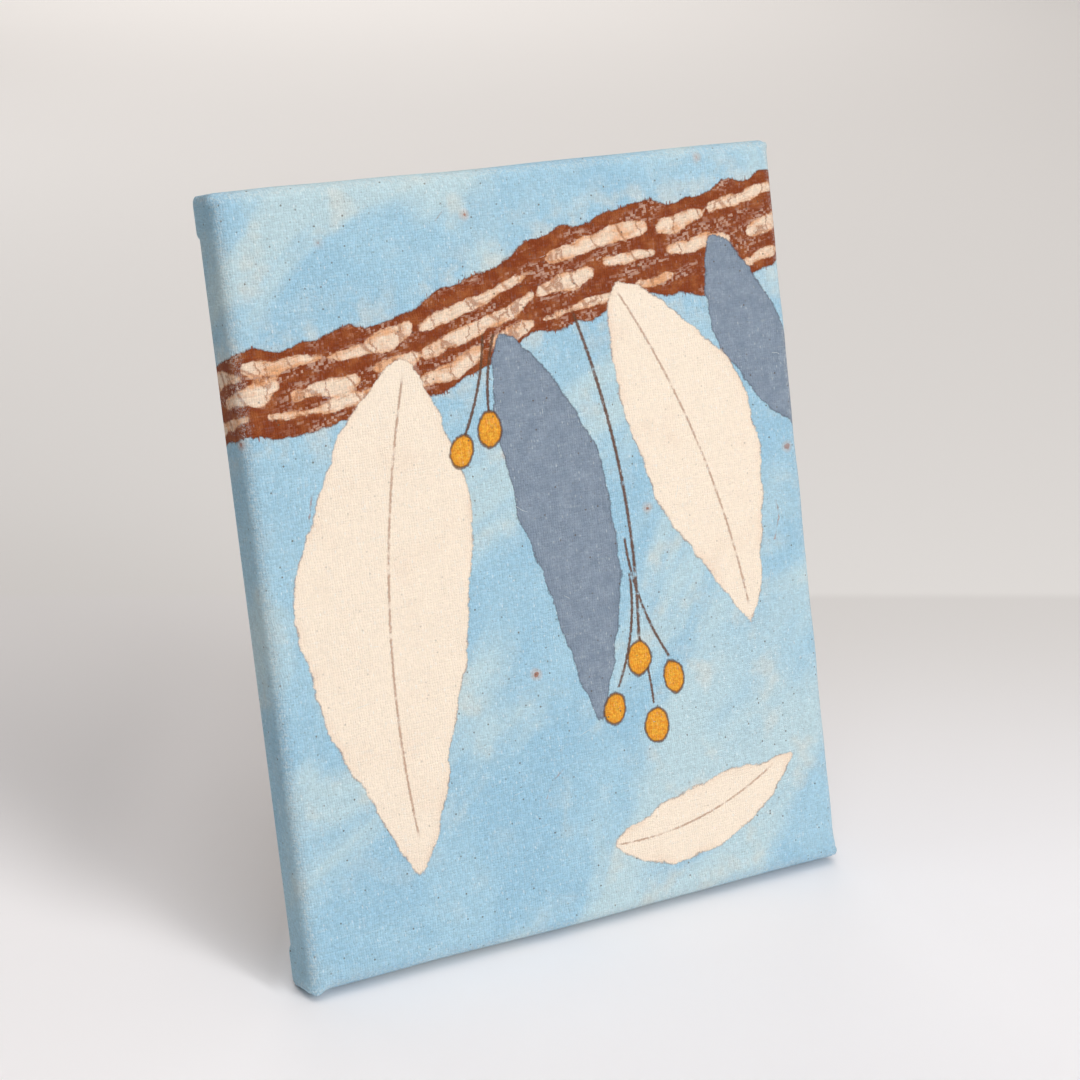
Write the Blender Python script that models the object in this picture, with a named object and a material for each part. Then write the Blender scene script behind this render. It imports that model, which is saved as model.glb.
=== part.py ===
"""A small stretched canvas picture that stands leaning back on a plain wooden base.

Blender 4.5, metres, +Z up.  The picture faces -Y and its top leans towards +Y.
Everything is first laid out in the upright panel's own axes: x across, z up
from the cloth's bottom edge, y from the back of the panel (0) to its front
(negative).  An empty then leans the panel back about its bottom back edge.
"""
import bpy
import bmesh
from math import cos, pi, radians, sin, tan
from mathutils import Matrix, Vector

# ---------------------------------------------------------------- driving sizes
BARS_WIDE = 0.2032            # an 8 x 10 inch frame of stretcher bars
BARS_HIGH = 0.2540
BAR_DEPTH = 0.0150
BAR_BROAD = 0.0380            # how far a bar reaches in from the edge
LEAN = radians(13.4)

CLOTH = 0.0006                # heavy plain-woven cotton
GAP = 0.0003                  # clearance between pieces that touch
CLOTH_FRONT_ROUND = 0.0050    # outer radius where the cloth turns over the front edge
CLOTH_BACK_ROUND = 0.0020
CLOTH_CORNER_ROUND = 0.0015
MARGIN = 0.0250               # cloth turned in on the back
FOLD_LONG = 0.0125            # the corner's folded plies, down the side
FOLD_PROUD = 0.0007
FOLD_RAMP = 0.0008

CREST_BROAD = 0.0070          # the bar's raised lip that carries the cloth
BEVEL_FALL = 0.0030           # how far the bar's front falls away behind the lip
MITRE_GAP = 0.00022

KEY_LONG = 0.0240
KEY_BUTT = 0.0110
KEY_TIP = 0.0050
KEY_THICK = 0.0024
KEY_IN = 0.0100               # how far a key is driven into its slot
KEY_BESIDE = 0.0013           # between a key and the bar that it lies along
SLOT_BROAD = 0.0096
SLOT_TALL = 0.0030
SLOT_PAST = 0.0005            # slot beyond the key's tip
UPRIGHT_KEY_DEPTH = 0.0064    # middle of each key, behind the bars' front
LEVEL_KEY_DEPTH = 0.0097

BOARD_WIDE = 0.1000
BOARD_LONG = 0.0860
BOARD_THICK = 0.0080
BOARD_ROUND = 0.0012
CLEAT_WIDE = 0.0900
CLEAT_HIGH = 0.0280
CLEAT_TOP = 0.0110            # its thickness at the top
CLEAT_FOOT = 0.0200           # and at the board
CLEAT_ROUND = 0.0020
SCREW_APART = 0.0520
SCREW_UP = 0.0160             # above the board
SCREW_HEAD_R = 0.0034
SCREW_HEAD_HIGH = 0.0022
SCREW_SHANK_R = 0.0017
SCREW_HOLE_R = 0.0020
SCREW_DRIVE = 0.0022          # width of the square recess in the head
SCREW_DRIVE_DEEP = 0.0012

ARC_STEPS = 5                 # flats on a front edge's round
SMALL_ARC_STEPS = 3
ROUND_SIDES = 20

# ---------------------------------------------------------------- worked out
SKIN = CLOTH + GAP            # from the cloth's outside to the wood
WIDE = BARS_WIDE + 2 * SKIN
HIGH = BARS_HIGH + 2 * SKIN
DEEP = BAR_DEPTH + 2 * SKIN
HALF = WIDE / 2
REST_DROP = CLOTH_BACK_ROUND * sin(LEAN)   # brings the bottom edge's flat to z = 0
BOARD_BACK = GAP / cos(LEAN) + BOARD_LONG
PANEL_FRONT = CLOTH_FRONT_ROUND * (sin(LEAN) - 1) - (DEEP - CLOTH_FRONT_ROUND) * cos(LEAN)
MIDDLE_Y = (PANEL_FRONT + BOARD_BACK) / 2  # the origin is under the whole thing's middle


# ---------------------------------------------------------------- scene and finishes
def clear_scene():
    for item in list(bpy.data.objects):
        bpy.data.objects.remove(item, do_unlink=True)


def finish_material(name, colour, roughness, metallic=0.0):
    material = bpy.data.materials.new(name)
    material.use_nodes = True
    shader = material.node_tree.nodes["Principled BSDF"]
    shader.inputs["Base Color"].default_value = (*colour, 1.0)
    shader.inputs["Roughness"].default_value = roughness
    shader.inputs["Metallic"].default_value = metallic
    material.diffuse_color = (*colour, 1.0)
    return material


def add_object(name, mesh, parent=None):
    item = bpy.data.objects.new(name, mesh)
    bpy.context.scene.collection.objects.link(item)
    item.parent = parent
    return item


def mesh_object(name, build, material, parent=None, smooth_angle=radians(35)):
    """Make one object from a bmesh that has just been built."""
    bmesh.ops.recalc_face_normals(build, faces=build.faces)
    mesh = bpy.data.meshes.new(name)
    build.to_mesh(mesh)
    build.free()
    mesh.materials.append(material)
    mesh.shade_smooth()
    mesh.set_sharp_from_angle(angle=smooth_angle)
    return add_object(name, mesh, parent)


def hide_as_tool(item):
    item.hide_render = True
    item.display_type = "WIRE"


def cut_with(item, cutter):
    cut = item.modifiers.new("cut_" + cutter.name, "BOOLEAN")
    cut.object = cutter
    cut.operation = "DIFFERENCE"
    cut.solver = "EXACT"
    hide_as_tool(cutter)


def lean_empty():
    """The panel stands on its bottom back edge and leans back about it."""
    lean = add_object("panel_lean", None)
    lean.location = (0.0, -MIDDLE_Y, -REST_DROP)
    lean.rotation_euler = (-LEAN, 0.0, 0.0)
    return lean


# ---------------------------------------------------------------- profiles
def arc(centre, radius, start, end, steps):
    """Points round an arc, both ends included."""
    points = []
    for step in range(steps + 1):
        angle = start + (end - start) * step / steps
        points.append((centre[0] + radius * cos(angle), centre[1] + radius * sin(angle)))
    return points


def bar_profile():
    """(in from the edge, back from the front) round a bar's section."""
    front = CLOTH_FRONT_ROUND - SKIN
    back = CLOTH_BACK_ROUND - SKIN
    points = arc((front, front), front, pi, 1.5 * pi, ARC_STEPS)
    points.append((CREST_BROAD, 0.0))
    points.append((BAR_BROAD, BEVEL_FALL))
    points.append((BAR_BROAD, BAR_DEPTH))
    points += arc((back, BAR_DEPTH - back), back, 0.5 * pi, pi, SMALL_ARC_STEPS)
    return points


def cloth_levels(thick):
    """The cloth's section from the face to the turned-in edge.

    Each level is (side, foot, back): how far the sheet lies outside the panel's
    outline at the sides and top, the same at the bottom, and the distance
    behind the face.  thick is 0 on the outside and CLOTH on the inside.
    """
    turn = CLOTH_FRONT_ROUND
    heel = CLOTH_BACK_ROUND
    levels = []
    for side, back in arc((-turn, turn), turn - thick, -0.5 * pi, 0.0, ARC_STEPS):
        levels.append((side, side, back))
    for side, back in arc((-heel, DEEP - heel), heel - thick, 0.0, 0.5 * pi, SMALL_ARC_STEPS):
        # the bottom back edge is a flat that lies level once the panel leans
        foot = -tan(LEAN) * (back - (DEEP - heel)) - thick / cos(LEAN)
        levels.append((side, foot, back))
    levels.append((-MARGIN, -MARGIN, DEEP - thick))
    return levels


def cloth_ring(side, foot, corner, plies):
    """(x, z) round the panel at one level, anticlockwise from the bottom right."""
    right = HALF + side
    top = HIGH + side
    bottom = -foot
    step_out = FOLD_LONG
    ring = []
    ring.append((right + plies, bottom + corner))
    ring.append((right + plies, bottom + step_out))
    ring.append((right, bottom + step_out + FOLD_RAMP))
    ring.append((right, top - step_out - FOLD_RAMP))
    ring.append((right + plies, top - step_out))
    ring += arc((right + plies - corner, top - corner), corner, 0.0, 0.5 * pi, SMALL_ARC_STEPS)
    left_half = [(-x, z) for x, z in reversed(ring)]
    foot_right = arc((right + plies - corner, bottom + corner), corner, -0.5 * pi, 0.0,
                     SMALL_ARC_STEPS)[:-1]
    foot_left = [(-x, z) for x, z in reversed(foot_right)]
    return ring + left_half + foot_left + foot_right


# ---------------------------------------------------------------- pieces
def make_cloth(material, parent):
    """One sheet: the face, the four turned sides and the margins on the back."""
    build = bmesh.new()
    rings = []
    outside = cloth_levels(0.0)
    inside = cloth_levels(CLOTH)
    on_side = CLOTH_FRONT_ROUND * 0.9
    for levels, thick in ((outside, 0.0), (list(reversed(inside)), CLOTH)):
        for side, foot, back in levels:
            # the corner's folded plies stand out on the side walls alone
            plies = FOLD_PROUD if thick == 0.0 and back > on_side and side > -MARGIN else 0.0
            corner = CLOTH_CORNER_ROUND - thick
            ring = [build.verts.new((x, back - DEEP, z))
                    for x, z in cloth_ring(side, foot, corner, plies)]
            rings.append(ring)
    for ring, after in zip(rings, rings[1:]):
        for at in range(len(ring)):
            following = (at + 1) % len(ring)
            build.faces.new((ring[at], ring[following], after[following], after[at]))
    build.faces.new(rings[0])
    build.faces.new(rings[-1])
    return mesh_object("canvas_cloth", build, material, parent)


def place_along(edge, along, inward, back):
    """A point on one bar, in the panel's axes."""
    y = back + SKIN - DEEP
    if edge == "top":
        return Vector((along, y, HIGH - SKIN - inward))
    if edge == "bottom":
        return Vector((along, y, SKIN + inward))
    if edge == "left":
        return Vector((-HALF + SKIN + inward, y, HIGH / 2 + along))
    return Vector((HALF - SKIN - inward, y, HIGH / 2 + along))


def make_bar(edge, length, material, parent):
    """A stretcher bar, mitred at both ends, with a slot for a key near each."""
    profile = bar_profile()
    build = bmesh.new()
    ends = []
    for hand in (-1, 1):
        ends.append([build.verts.new(place_along(edge, hand * (length / 2 - inward - MITRE_GAP),
                                                 inward, back))
                     for inward, back in profile])
    for at in range(len(profile)):
        following = (at + 1) % len(profile)
        build.faces.new((ends[0][at], ends[0][following], ends[1][following], ends[1][at]))
    build.faces.new(ends[0])
    build.faces.new(ends[1])
    bar = mesh_object("bar_" + edge, build, material, parent)
    cut_with(bar, make_slots(edge, length, parent))
    return bar


def make_slots(edge, length, parent):
    """The cutter for one bar's two key slots."""
    build = bmesh.new()
    middle = UPRIGHT_KEY_DEPTH if edge in ("top", "bottom") else LEVEL_KEY_DEPTH
    inner = length / 2 - BAR_BROAD
    near = KEY_BESIDE - GAP
    for hand in (-1, 1):
        corners = []
        for along in (inner - near, inner - near - SLOT_BROAD):
            for inward in (BAR_BROAD - KEY_IN - SLOT_PAST, BAR_BROAD + SLOT_PAST):
                for back in (middle - SLOT_TALL / 2, middle + SLOT_TALL / 2):
                    corners.append(place_along(edge, hand * along, inward, back))
        add_block(build, corners)
    return mesh_object("slots_" + edge, build, None, parent)


def add_block(build, corners):
    """A six-sided block from its eight corners, in the order of three nested pairs."""
    verts = [build.verts.new(corner) for corner in corners]
    for face in ((0, 1, 3, 2), (4, 5, 7, 6), (0, 1, 5, 4), (2, 3, 7, 6), (0, 2, 6, 4), (1, 3, 7, 5)):
        build.faces.new([verts[at] for at in face])


def make_key(name, edge, hand, length, middle, material, parent):
    """A tapered key driven into the slot near one end of a bar."""
    inner = length / 2 - BAR_BROAD
    straight = inner - KEY_BESIDE
    tip = BAR_BROAD - KEY_IN
    butt = tip + KEY_LONG
    outline = ((straight, tip), (straight - KEY_TIP, tip), (straight - KEY_BUTT, butt),
               (straight, butt))
    build = bmesh.new()
    layers = []
    for back in (middle - KEY_THICK / 2, middle + KEY_THICK / 2):
        layers.append([build.verts.new(place_along(edge, hand * along, inward, back))
                       for along, inward in outline])
    for at in range(len(outline)):
        following = (at + 1) % len(outline)
        build.faces.new((layers[0][at], layers[0][following], layers[1][following], layers[1][at]))
    build.faces.new(layers[0])
    build.faces.new(layers[1])
    return mesh_object(name, build, material, parent)


def make_keys(material, parent):
    """Two keys at each corner, crossing one behind the other."""
    for edge, word in (("top", "top"), ("bottom", "bottom")):
        for hand, side in ((-1, "left"), (1, "right")):
            make_key(f"key_{word}_{side}_upright", edge, hand, BARS_WIDE, UPRIGHT_KEY_DEPTH,
                     material, parent)
    for edge, word in (("left", "left"), ("right", "right")):
        for hand, height in ((-1, "bottom"), (1, "top")):
            make_key(f"key_{height}_{word}_level", edge, hand, BARS_HIGH, LEVEL_KEY_DEPTH,
                     material, parent)


def extrude_section(section, width):
    """A bmesh from a (y, z) outline, spread evenly either side of x = 0."""
    build = bmesh.new()
    sides = []
    for x in (-width / 2, width / 2):
        sides.append([build.verts.new((x, y, z)) for y, z in section])
    for at in range(len(section)):
        following = (at + 1) % len(section)
        build.faces.new((sides[0][at], sides[0][following], sides[1][following], sides[1][at]))
    build.faces.new(sides[0])
    build.faces.new(sides[1])
    return build


def behind_panel(height, clearance):
    """The y of a line that lies behind the leaning panel's back, at a height."""
    sole = -REST_DROP
    return (height - sole) * tan(LEAN) + clearance / cos(LEAN) - MIDDLE_Y


def round_edges(item, width, chosen):
    """Round the edges that a test picks, as a modifier."""
    mesh = item.data
    weights = mesh.attributes.new("bevel_weight_edge", "FLOAT", "EDGE")
    for edge in mesh.edges:
        ends = [mesh.vertices[at].co for at in edge.vertices]
        weights.data[edge.index].value = 1.0 if chosen(*ends) else 0.0
    rounding = item.modifiers.new("rounding", "BEVEL")
    rounding.limit_method = "WEIGHT"
    rounding.width = width
    rounding.segments = SMALL_ARC_STEPS


def make_board(material):
    """The base board on the floor, its front edge planed to the lean."""
    back = BOARD_BACK - MIDDLE_Y
    section = ((behind_panel(0.0, GAP), 0.0), (behind_panel(BOARD_THICK, GAP), BOARD_THICK),
               (back, BOARD_THICK), (back, 0.0))
    board = mesh_object("stand_board", extrude_section(section, BOARD_WIDE), material)

    def top_rim(one, other):
        return min(one.z, other.z) > BOARD_THICK * 0.5 and max(one.y, other.y) > back - GAP

    round_edges(board, BOARD_ROUND, top_rim)
    return board


def cleat_corner_heights():
    """Heights of the cleat's foot and top."""
    foot = BOARD_THICK + GAP
    return foot, foot + CLEAT_HIGH


def make_cleat(material):
    """The block on the board that the bottom bar is screwed to."""
    foot, top = cleat_corner_heights()
    front_foot = behind_panel(foot, GAP)
    front_top = behind_panel(top, GAP)
    section = ((front_foot, foot), (front_top, top), (front_top + CLEAT_TOP, top),
               (front_foot + CLEAT_FOOT, foot))
    cleat = mesh_object("stand_cleat", extrude_section(section, CLEAT_WIDE), material)

    def top_edges(one, other):
        return min(one.z, other.z) > top - GAP and max(one.y, other.y) > front_top + GAP

    round_edges(cleat, CLEAT_ROUND, top_edges)
    return cleat


def back_of_cleat(height):
    """The y of the cleat's sloping back and the slope's rise per unit back."""
    foot, top = cleat_corner_heights()
    low = behind_panel(foot, GAP) + CLEAT_FOOT
    high = behind_panel(top, GAP) + CLEAT_TOP
    share = (height - foot) / (top - foot)
    return low + (high - low) * share, (high - low) / (top - foot)


def turned_piece(profile):
    """A bmesh turned about +Z from an (r, z) profile whose two ends lie on the axis."""
    build = bmesh.new()
    rings = []
    for radius, z in profile:
        if radius < 1e-9:
            rings.append([build.verts.new((0.0, 0.0, z))])
            continue
        rings.append([build.verts.new((radius * cos(2 * pi * at / ROUND_SIDES),
                                       radius * sin(2 * pi * at / ROUND_SIDES), z))
                      for at in range(ROUND_SIDES)])
    for ring, after in zip(rings, rings[1:]):
        for at in range(ROUND_SIDES):
            following = (at + 1) % ROUND_SIDES
            corners = [ring[at % len(ring)], ring[following % len(ring)],
                       after[following % len(after)], after[at % len(after)]]
            unique = list(dict.fromkeys(corners))
            build.faces.new(unique)
    return build


def screw_placing(hand):
    """A screw's seat on the cleat's back, its own +Z pointing out of the wood."""
    height = BOARD_THICK + GAP + SCREW_UP
    y, slope = back_of_cleat(height)
    out = Vector((0.0, 1.0, -slope)).normalized()
    turn = out.to_track_quat("Z", "Y").to_matrix().to_4x4()
    seat = Vector((hand * SCREW_APART / 2, y, height)) + out * GAP
    return Matrix.Translation(seat) @ turn, out


def shank_length():
    """From the cleat's back to just short of its front face."""
    height = BOARD_THICK + GAP + SCREW_UP
    y, slope = back_of_cleat(height)
    out = Vector((0.0, 1.0, -slope)).normalized()
    face_normal = Vector((0.0, cos(LEAN), -sin(LEAN)))
    front = Vector((0.0, behind_panel(height, GAP), height))
    reach = (Vector((0.0, y, height)) - front).dot(face_normal) / out.dot(face_normal)
    return reach


def make_screw(name, hand, material):
    """A round-headed screw with a square recess."""
    placing, _ = screw_placing(hand)
    shank = -(shank_length() - SCREW_SHANK_R)
    profile = [(0.0, shank), (SCREW_SHANK_R, shank), (SCREW_SHANK_R, 0.0), (SCREW_HEAD_R, 0.0)]
    dome = (SCREW_HEAD_R ** 2 + SCREW_HEAD_HIGH ** 2) / (2 * SCREW_HEAD_HIGH)
    for step in range(1, SMALL_ARC_STEPS + 1):
        radius = SCREW_HEAD_R * (1 - step / (SMALL_ARC_STEPS + 1))
        profile.append((radius, SCREW_HEAD_HIGH - dome + (dome ** 2 - radius ** 2) ** 0.5))
    profile.append((0.0, SCREW_HEAD_HIGH))
    screw = mesh_object(name, turned_piece(profile), material)
    screw.matrix_world = placing
    recess_build = bmesh.new()
    low = SCREW_HEAD_HIGH - SCREW_DRIVE_DEEP
    corners = [Vector((x * SCREW_DRIVE / 2, y * SCREW_DRIVE / 2, z))
               for x in (-1, 1) for y in (-1, 1) for z in (low, SCREW_HEAD_HIGH + GAP)]
    add_block(recess_build, corners)
    recess = mesh_object("recess_" + name, recess_build, None)
    recess.matrix_world = placing
    cut_with(screw, recess)
    return screw


def bore_for_screw(cleat, hand, side):
    """The clearance hole that a screw's shank runs in, right through the cleat."""
    placing, _ = screw_placing(hand)
    length = shank_length() + 4 * SCREW_HOLE_R
    bore = mesh_object("bore_" + side, turned_piece([
        (0.0, -length), (SCREW_HOLE_R, -length), (SCREW_HOLE_R, SCREW_HOLE_R),
        (0.0, SCREW_HOLE_R)]), None)
    bore.matrix_world = placing
    cut_with(cleat, bore)


def build_panel(cotton, pine, key_wood):
    lean = lean_empty()
    make_cloth(cotton, lean)
    make_bar("top", BARS_WIDE, pine, lean)
    make_bar("bottom", BARS_WIDE, pine, lean)
    make_bar("left", BARS_HIGH, pine, lean)
    make_bar("right", BARS_HIGH, pine, lean)
    make_keys(key_wood, lean)


def build_stand(wood, steel):
    make_board(wood)
    cleat = make_cleat(wood)
    for hand, side in ((-1, "left"), (1, "right")):
        bore_for_screw(cleat, hand, side)
        make_screw("stand_screw_" + side, hand, steel)


def main():
    clear_scene()
    cotton = finish_material("dyed_cotton", (0.50, 0.70, 0.82), 0.9)
    pine = finish_material("pine", (0.74, 0.57, 0.36), 0.6)
    key_wood = finish_material("beech", (0.70, 0.50, 0.32), 0.5)
    stand_wood = finish_material("stand_birch", (0.78, 0.64, 0.44), 0.5)
    steel = finish_material("zinc_steel", (0.62, 0.62, 0.62), 0.35, 1.0)
    build_panel(cotton, pine, key_wood)
    build_stand(stand_wood, steel)


main()
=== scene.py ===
"""The looks of a small dyed-cotton picture on stretcher bars, leaning back on a plain wooden base.

The cloth is one stretched sheet, laid out flat first: its UV map and every
drawn motif use the flat cut's own metres, so threads and dye follow it round
the edges.  The panel's own axes are x across, z up from the cloth's bottom
edge and y from the panel's back (0) to its front (negative).
"""
from math import atan2, cos, pi, radians, sin

import bmesh
import bpy
import numpy as np
from mathutils import Matrix, Vector


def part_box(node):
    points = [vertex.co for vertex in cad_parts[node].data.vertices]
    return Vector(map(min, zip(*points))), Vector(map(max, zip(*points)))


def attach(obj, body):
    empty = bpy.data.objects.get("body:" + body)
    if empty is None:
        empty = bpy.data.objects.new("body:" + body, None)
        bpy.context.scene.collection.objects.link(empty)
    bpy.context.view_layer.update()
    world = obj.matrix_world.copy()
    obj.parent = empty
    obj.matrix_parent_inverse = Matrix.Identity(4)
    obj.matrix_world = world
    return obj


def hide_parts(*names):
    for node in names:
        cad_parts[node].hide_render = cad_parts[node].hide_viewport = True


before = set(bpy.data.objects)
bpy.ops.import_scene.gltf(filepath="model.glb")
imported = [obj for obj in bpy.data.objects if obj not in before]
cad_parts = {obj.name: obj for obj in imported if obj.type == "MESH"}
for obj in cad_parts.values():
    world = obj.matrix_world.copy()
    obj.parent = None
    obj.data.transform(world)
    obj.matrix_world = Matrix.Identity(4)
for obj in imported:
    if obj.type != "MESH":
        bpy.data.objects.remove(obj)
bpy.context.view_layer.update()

# ---------------------------------------------------------------- sizes
LEAN = radians(13.4)
DEEP = 0.0168                 # the panel's depth over the cloth
CLOTH = 0.0006                # the cloth's thickness
FRONT_ROUND = 0.0050          # radius of the cloth's outside over the bars' front edge
BACK_ROUND = 0.0020           # and over their back edge
MARGIN = 0.0250               # how far the cloth is turned in on the back
PLY = 0.0007                  # how far the corners' folded plies stand out in the frame
PLY_RISE = 0.00075            # how far they stand out in this sheet

cloth_low, cloth_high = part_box("canvas_cloth")
WIDE = cloth_high.x - cloth_low.x - 2 * PLY
HIGH = ((cloth_high.z + BACK_ROUND * sin(LEAN) - FRONT_ROUND - (DEEP - FRONT_ROUND) * sin(LEAN))
        / cos(LEAN) + FRONT_ROUND)
HINGE = Vector((0.0, cloth_high.y - BACK_ROUND + BACK_ROUND * cos(LEAN)
                - (HIGH - BACK_ROUND) * sin(LEAN), -BACK_ROUND * sin(LEAN)))
TO_WORLD = Matrix.Translation(HINGE) @ Matrix.Rotation(-LEAN, 4, "X")

FACE_X = WIDE / 2 - FRONT_ROUND    # half of the flat face, before it turns over the edge
FACE_Z = HIGH / 2 - FRONT_ROUND
EDGES = ("bottom", "right", "top", "left")
MM = 0.001
TO_MM = 1000.0

# the sheet's grid: its fine lines' spacing, the band that they fill, and the coarse spacing
GRID_FINE = 0.0008
GRID_BAND = 0.0148
GRID_COARSE = 0.0016

# thread spacing of the coarse plain weave, in millimetres
WARP_PITCH = 0.87
WEFT_PITCH = 0.88
EDGE_SOFT = 0.2               # half of the soft cut at a motif's edge, in millimetres
DROP_SCALE = 0.055            # places for a drop of dye, per millimetre

STAPLE_PROUD = 0.0001         # how far a staple's crown stands off the cloth
CORNER_STAPLE_IN = 0.0165     # from the panel's edges to a corner's staple
FRAY_APART = 0.0024           # between the frayed threads along the cut edge
FRAY_IN = 0.0002              # from the cut edge to a frayed thread's root
NEP_CLEAR = 0.003             # the yarn's knots keep this far from a motif's edge
LINT_COUNT = 34
LINT_PROUD = 0.00006          # how far a caught fibre's start stands off the face

BOUGH_LEVEL = 0.083           # the bough's height above the panel's middle, its slope and reach
BOUGH_RISE = 0.215
BOUGH_REACH = 0.150

# ---------------------------------------------------------------- colours (linear)
SKY = (0.379, 0.590, 0.718, 1.0)
SKY_DEEP = (0.326, 0.542, 0.690, 1.0)
SKY_PALE = (0.535, 0.678, 0.712, 1.0)
CREAM = (0.945, 0.800, 0.650, 1.0)
CREAM_STAIN = (0.820, 0.600, 0.450, 1.0)
SLATE = (0.270, 0.325, 0.400, 1.0)
SLATE_DARK = (0.190, 0.240, 0.310, 1.0)
RUST = (0.232, 0.044, 0.009, 1.0)
RUST_LIGHT = (0.345, 0.098, 0.026, 1.0)
WAXED = (0.880, 0.705, 0.550, 1.0)
STAIN_ORANGE = (0.730, 0.340, 0.150, 1.0)
CAUGHT = (0.560, 0.360, 0.270, 1.0)
GOLD = (0.860, 0.440, 0.045, 1.0)
GOLD_DEEP = (0.760, 0.270, 0.020, 1.0)
SKY_THIN = (0.640, 0.660, 0.620, 1.0)
SLATE_RIM = (0.085, 0.100, 0.130, 1.0)
RUST_DARK = (0.110, 0.035, 0.018, 1.0)
RIM_BROWN = (0.230, 0.115, 0.080, 1.0)
VEIN_BROWN = (0.370, 0.160, 0.075, 1.0)
OUTLINE = (0.100, 0.048, 0.028, 1.0)
STEM_BROWN = (0.130, 0.052, 0.024, 1.0)
THREAD_PALE = (0.800, 0.840, 0.840, 1.0)
THREAD_DARK = (0.240, 0.320, 0.360, 1.0)
SLUB_PALE = (0.930, 0.940, 0.920, 1.0)
FLECK_DARK = (0.160, 0.140, 0.110, 1.0)
SEED_DARK = (0.110, 0.085, 0.062, 1.0)
RUBBED_PALE = (0.800, 0.820, 0.800, 1.0)
REVERSE_PALE = (0.660, 0.660, 0.600, 1.0)
ZINC_BRIGHT = (0.620, 0.620, 0.600, 1.0)
ZINC_DULL = (0.480, 0.470, 0.440, 1.0)
PAPER_RIGHT = (0.915, 0.897, 0.915, 1.0)
# painted light: the paper on the left is lighter than on the right
PAPER_LEFT_PAINTED_LIGHTER = (0.965, 0.940, 0.950, 1.0)
# painted shade: the darker tone of the paper towards the seam
PAPER_PAINTED_SHADE_BY_SEAM = (0.765, 0.738, 0.722, 1.0)
PAPER_PAST_SEAM = (0.842, 0.818, 0.800, 1.0)
PAPER_FAR = (0.940, 0.912, 0.892, 1.0)
PAPER_ASIDE = (0.840, 0.820, 0.810, 1.0)
BLACK = (0.0, 0.0, 0.0, 1.0)


# ---------------------------------------------------------------- small helpers
def smoothstep(value, low, high):
    share = np.clip((value - low) / (high - low), 0.0, 1.0)
    return share * share * (3 - 2 * share)


def hump(value, middle, spread):
    """A smooth bump of height 1."""
    return np.exp(-((value - middle) / spread) ** 2)


def new_mesh(name, points, faces):
    mesh = bpy.data.meshes.new(name)
    mesh.from_pydata(points, [], faces)
    mesh.update()
    return mesh


def add_object(name, data):
    item = bpy.data.objects.new(name, data)
    bpy.context.scene.collection.objects.link(item)
    return item


def leaned(points):
    """Points of the upright panel, set in their leaning place."""
    return points @ np.array(TO_WORLD.to_3x3()).T + np.array(HINGE)


def ready(piece):
    """Every piece of a still model rides on the one body."""
    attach(piece, "root")
    return piece


# ---------------------------------------------------------------- shader helpers
def put(tree, kind, settings=None, **inputs):
    """Add a node; inputs are given by name, as a value or as the socket that feeds them."""
    node = tree.nodes.new(kind)
    for name, value in (settings or {}).items():
        setattr(node, name, value)
    for name, value in inputs.items():
        feed(tree, node.inputs[name.replace("_", " ")], value)
    return node


def made(tree, kind, settings=None, **inputs):
    """Add a node and give its first output."""
    return put(tree, kind, settings, **inputs).outputs[0]


def feed(tree, socket, value):
    if isinstance(value, bpy.types.NodeSocket):
        tree.links.new(value, socket)
    else:
        socket.default_value = value


def calc(tree, operation, *values):
    node = put(tree, "ShaderNodeMath", {"operation": operation})
    for socket, value in zip(node.inputs, values):
        feed(tree, socket, value)
    return node.outputs[0]


def vector_calc(tree, operation, *values, **named):
    node = put(tree, "ShaderNodeVectorMath", {"operation": operation}, **named)
    for socket, value in zip(node.inputs, values):
        feed(tree, socket, value)
    return node.outputs["Value" if operation == "LENGTH" else "Vector"]


def over_all(tree, operation, values):
    """One value from several, such as the greatest of them."""
    total = values[0]
    for value in values[1:]:
        total = calc(tree, operation, total, value)
    return total


def add(tree, one, other):
    return calc(tree, "ADD", one, other)


def minus(tree, one, other):
    return calc(tree, "SUBTRACT", one, other)


def times(tree, one, other):
    return calc(tree, "MULTIPLY", one, other)


def swing(tree, noise, amount):
    """Noise made to swing evenly to both sides of 0."""
    return times(tree, add(tree, noise, -0.5), amount)


def ramp(tree, value, low, high, to_low=0.0, to_high=1.0):
    """A soft step between two values, either way up."""
    settings = {"interpolation_type": "SMOOTHSTEP", "clamp": True}
    return made(tree, "ShaderNodeMapRange", settings, Value=value, From_Min=low, From_Max=high,
                To_Min=to_low, To_Max=to_high)


def blend(tree, share, under, over, kind="MIX"):
    """Lay one colour over another."""
    settings = {"data_type": "RGBA", "blend_type": kind, "clamp_factor": True}
    node = put(tree, "ShaderNodeMix", settings)
    for number, value in ((0, share), (6, under), (7, over)):
        feed(tree, node.inputs[number], value)
    return node.outputs[2]


def clouds(tree, vector, scale, detail=2.0, roughness=0.5, distortion=0.0):
    return made(tree, "ShaderNodeTexNoise", Vector=vector, Scale=scale, Detail=detail,
                Roughness=roughness, Distortion=distortion)


def specks(tree, vector, scale, channel, size, chance):
    """Specks strewn over the flat cloth, soft from the first size in to the second.

    The chance pair says which of them show, faintly from the first and fully from the second."""
    away, lot = strewn(tree, vector, scale, channel)
    return times(tree, ramp(tree, away, *size), ramp(tree, lot, *chance))


def strewn(tree, vector, scale, channel):
    """How far the nearest of the strewn points lies, and a chance value that belongs to it."""
    cells = put(tree, "ShaderNodeTexVoronoi", {"voronoi_dimensions": "2D"}, Vector=vector,
                Scale=scale)
    return cells.outputs["Distance"], split(tree, cells.outputs["Color"])[channel]


def scaled(tree, vector, size, move=(0.0, 0.0, 0.0), turn=(0.0, 0.0, 0.0)):
    return made(tree, "ShaderNodeMapping", Vector=vector, Location=move, Rotation=turn, Scale=size)


def turned_flat(tree, vector, angle):
    """Turn a pattern in its own plane."""
    return scaled(tree, vector, (1.0, 1.0, 1.0), turn=(0.0, 0.0, angle))


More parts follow.
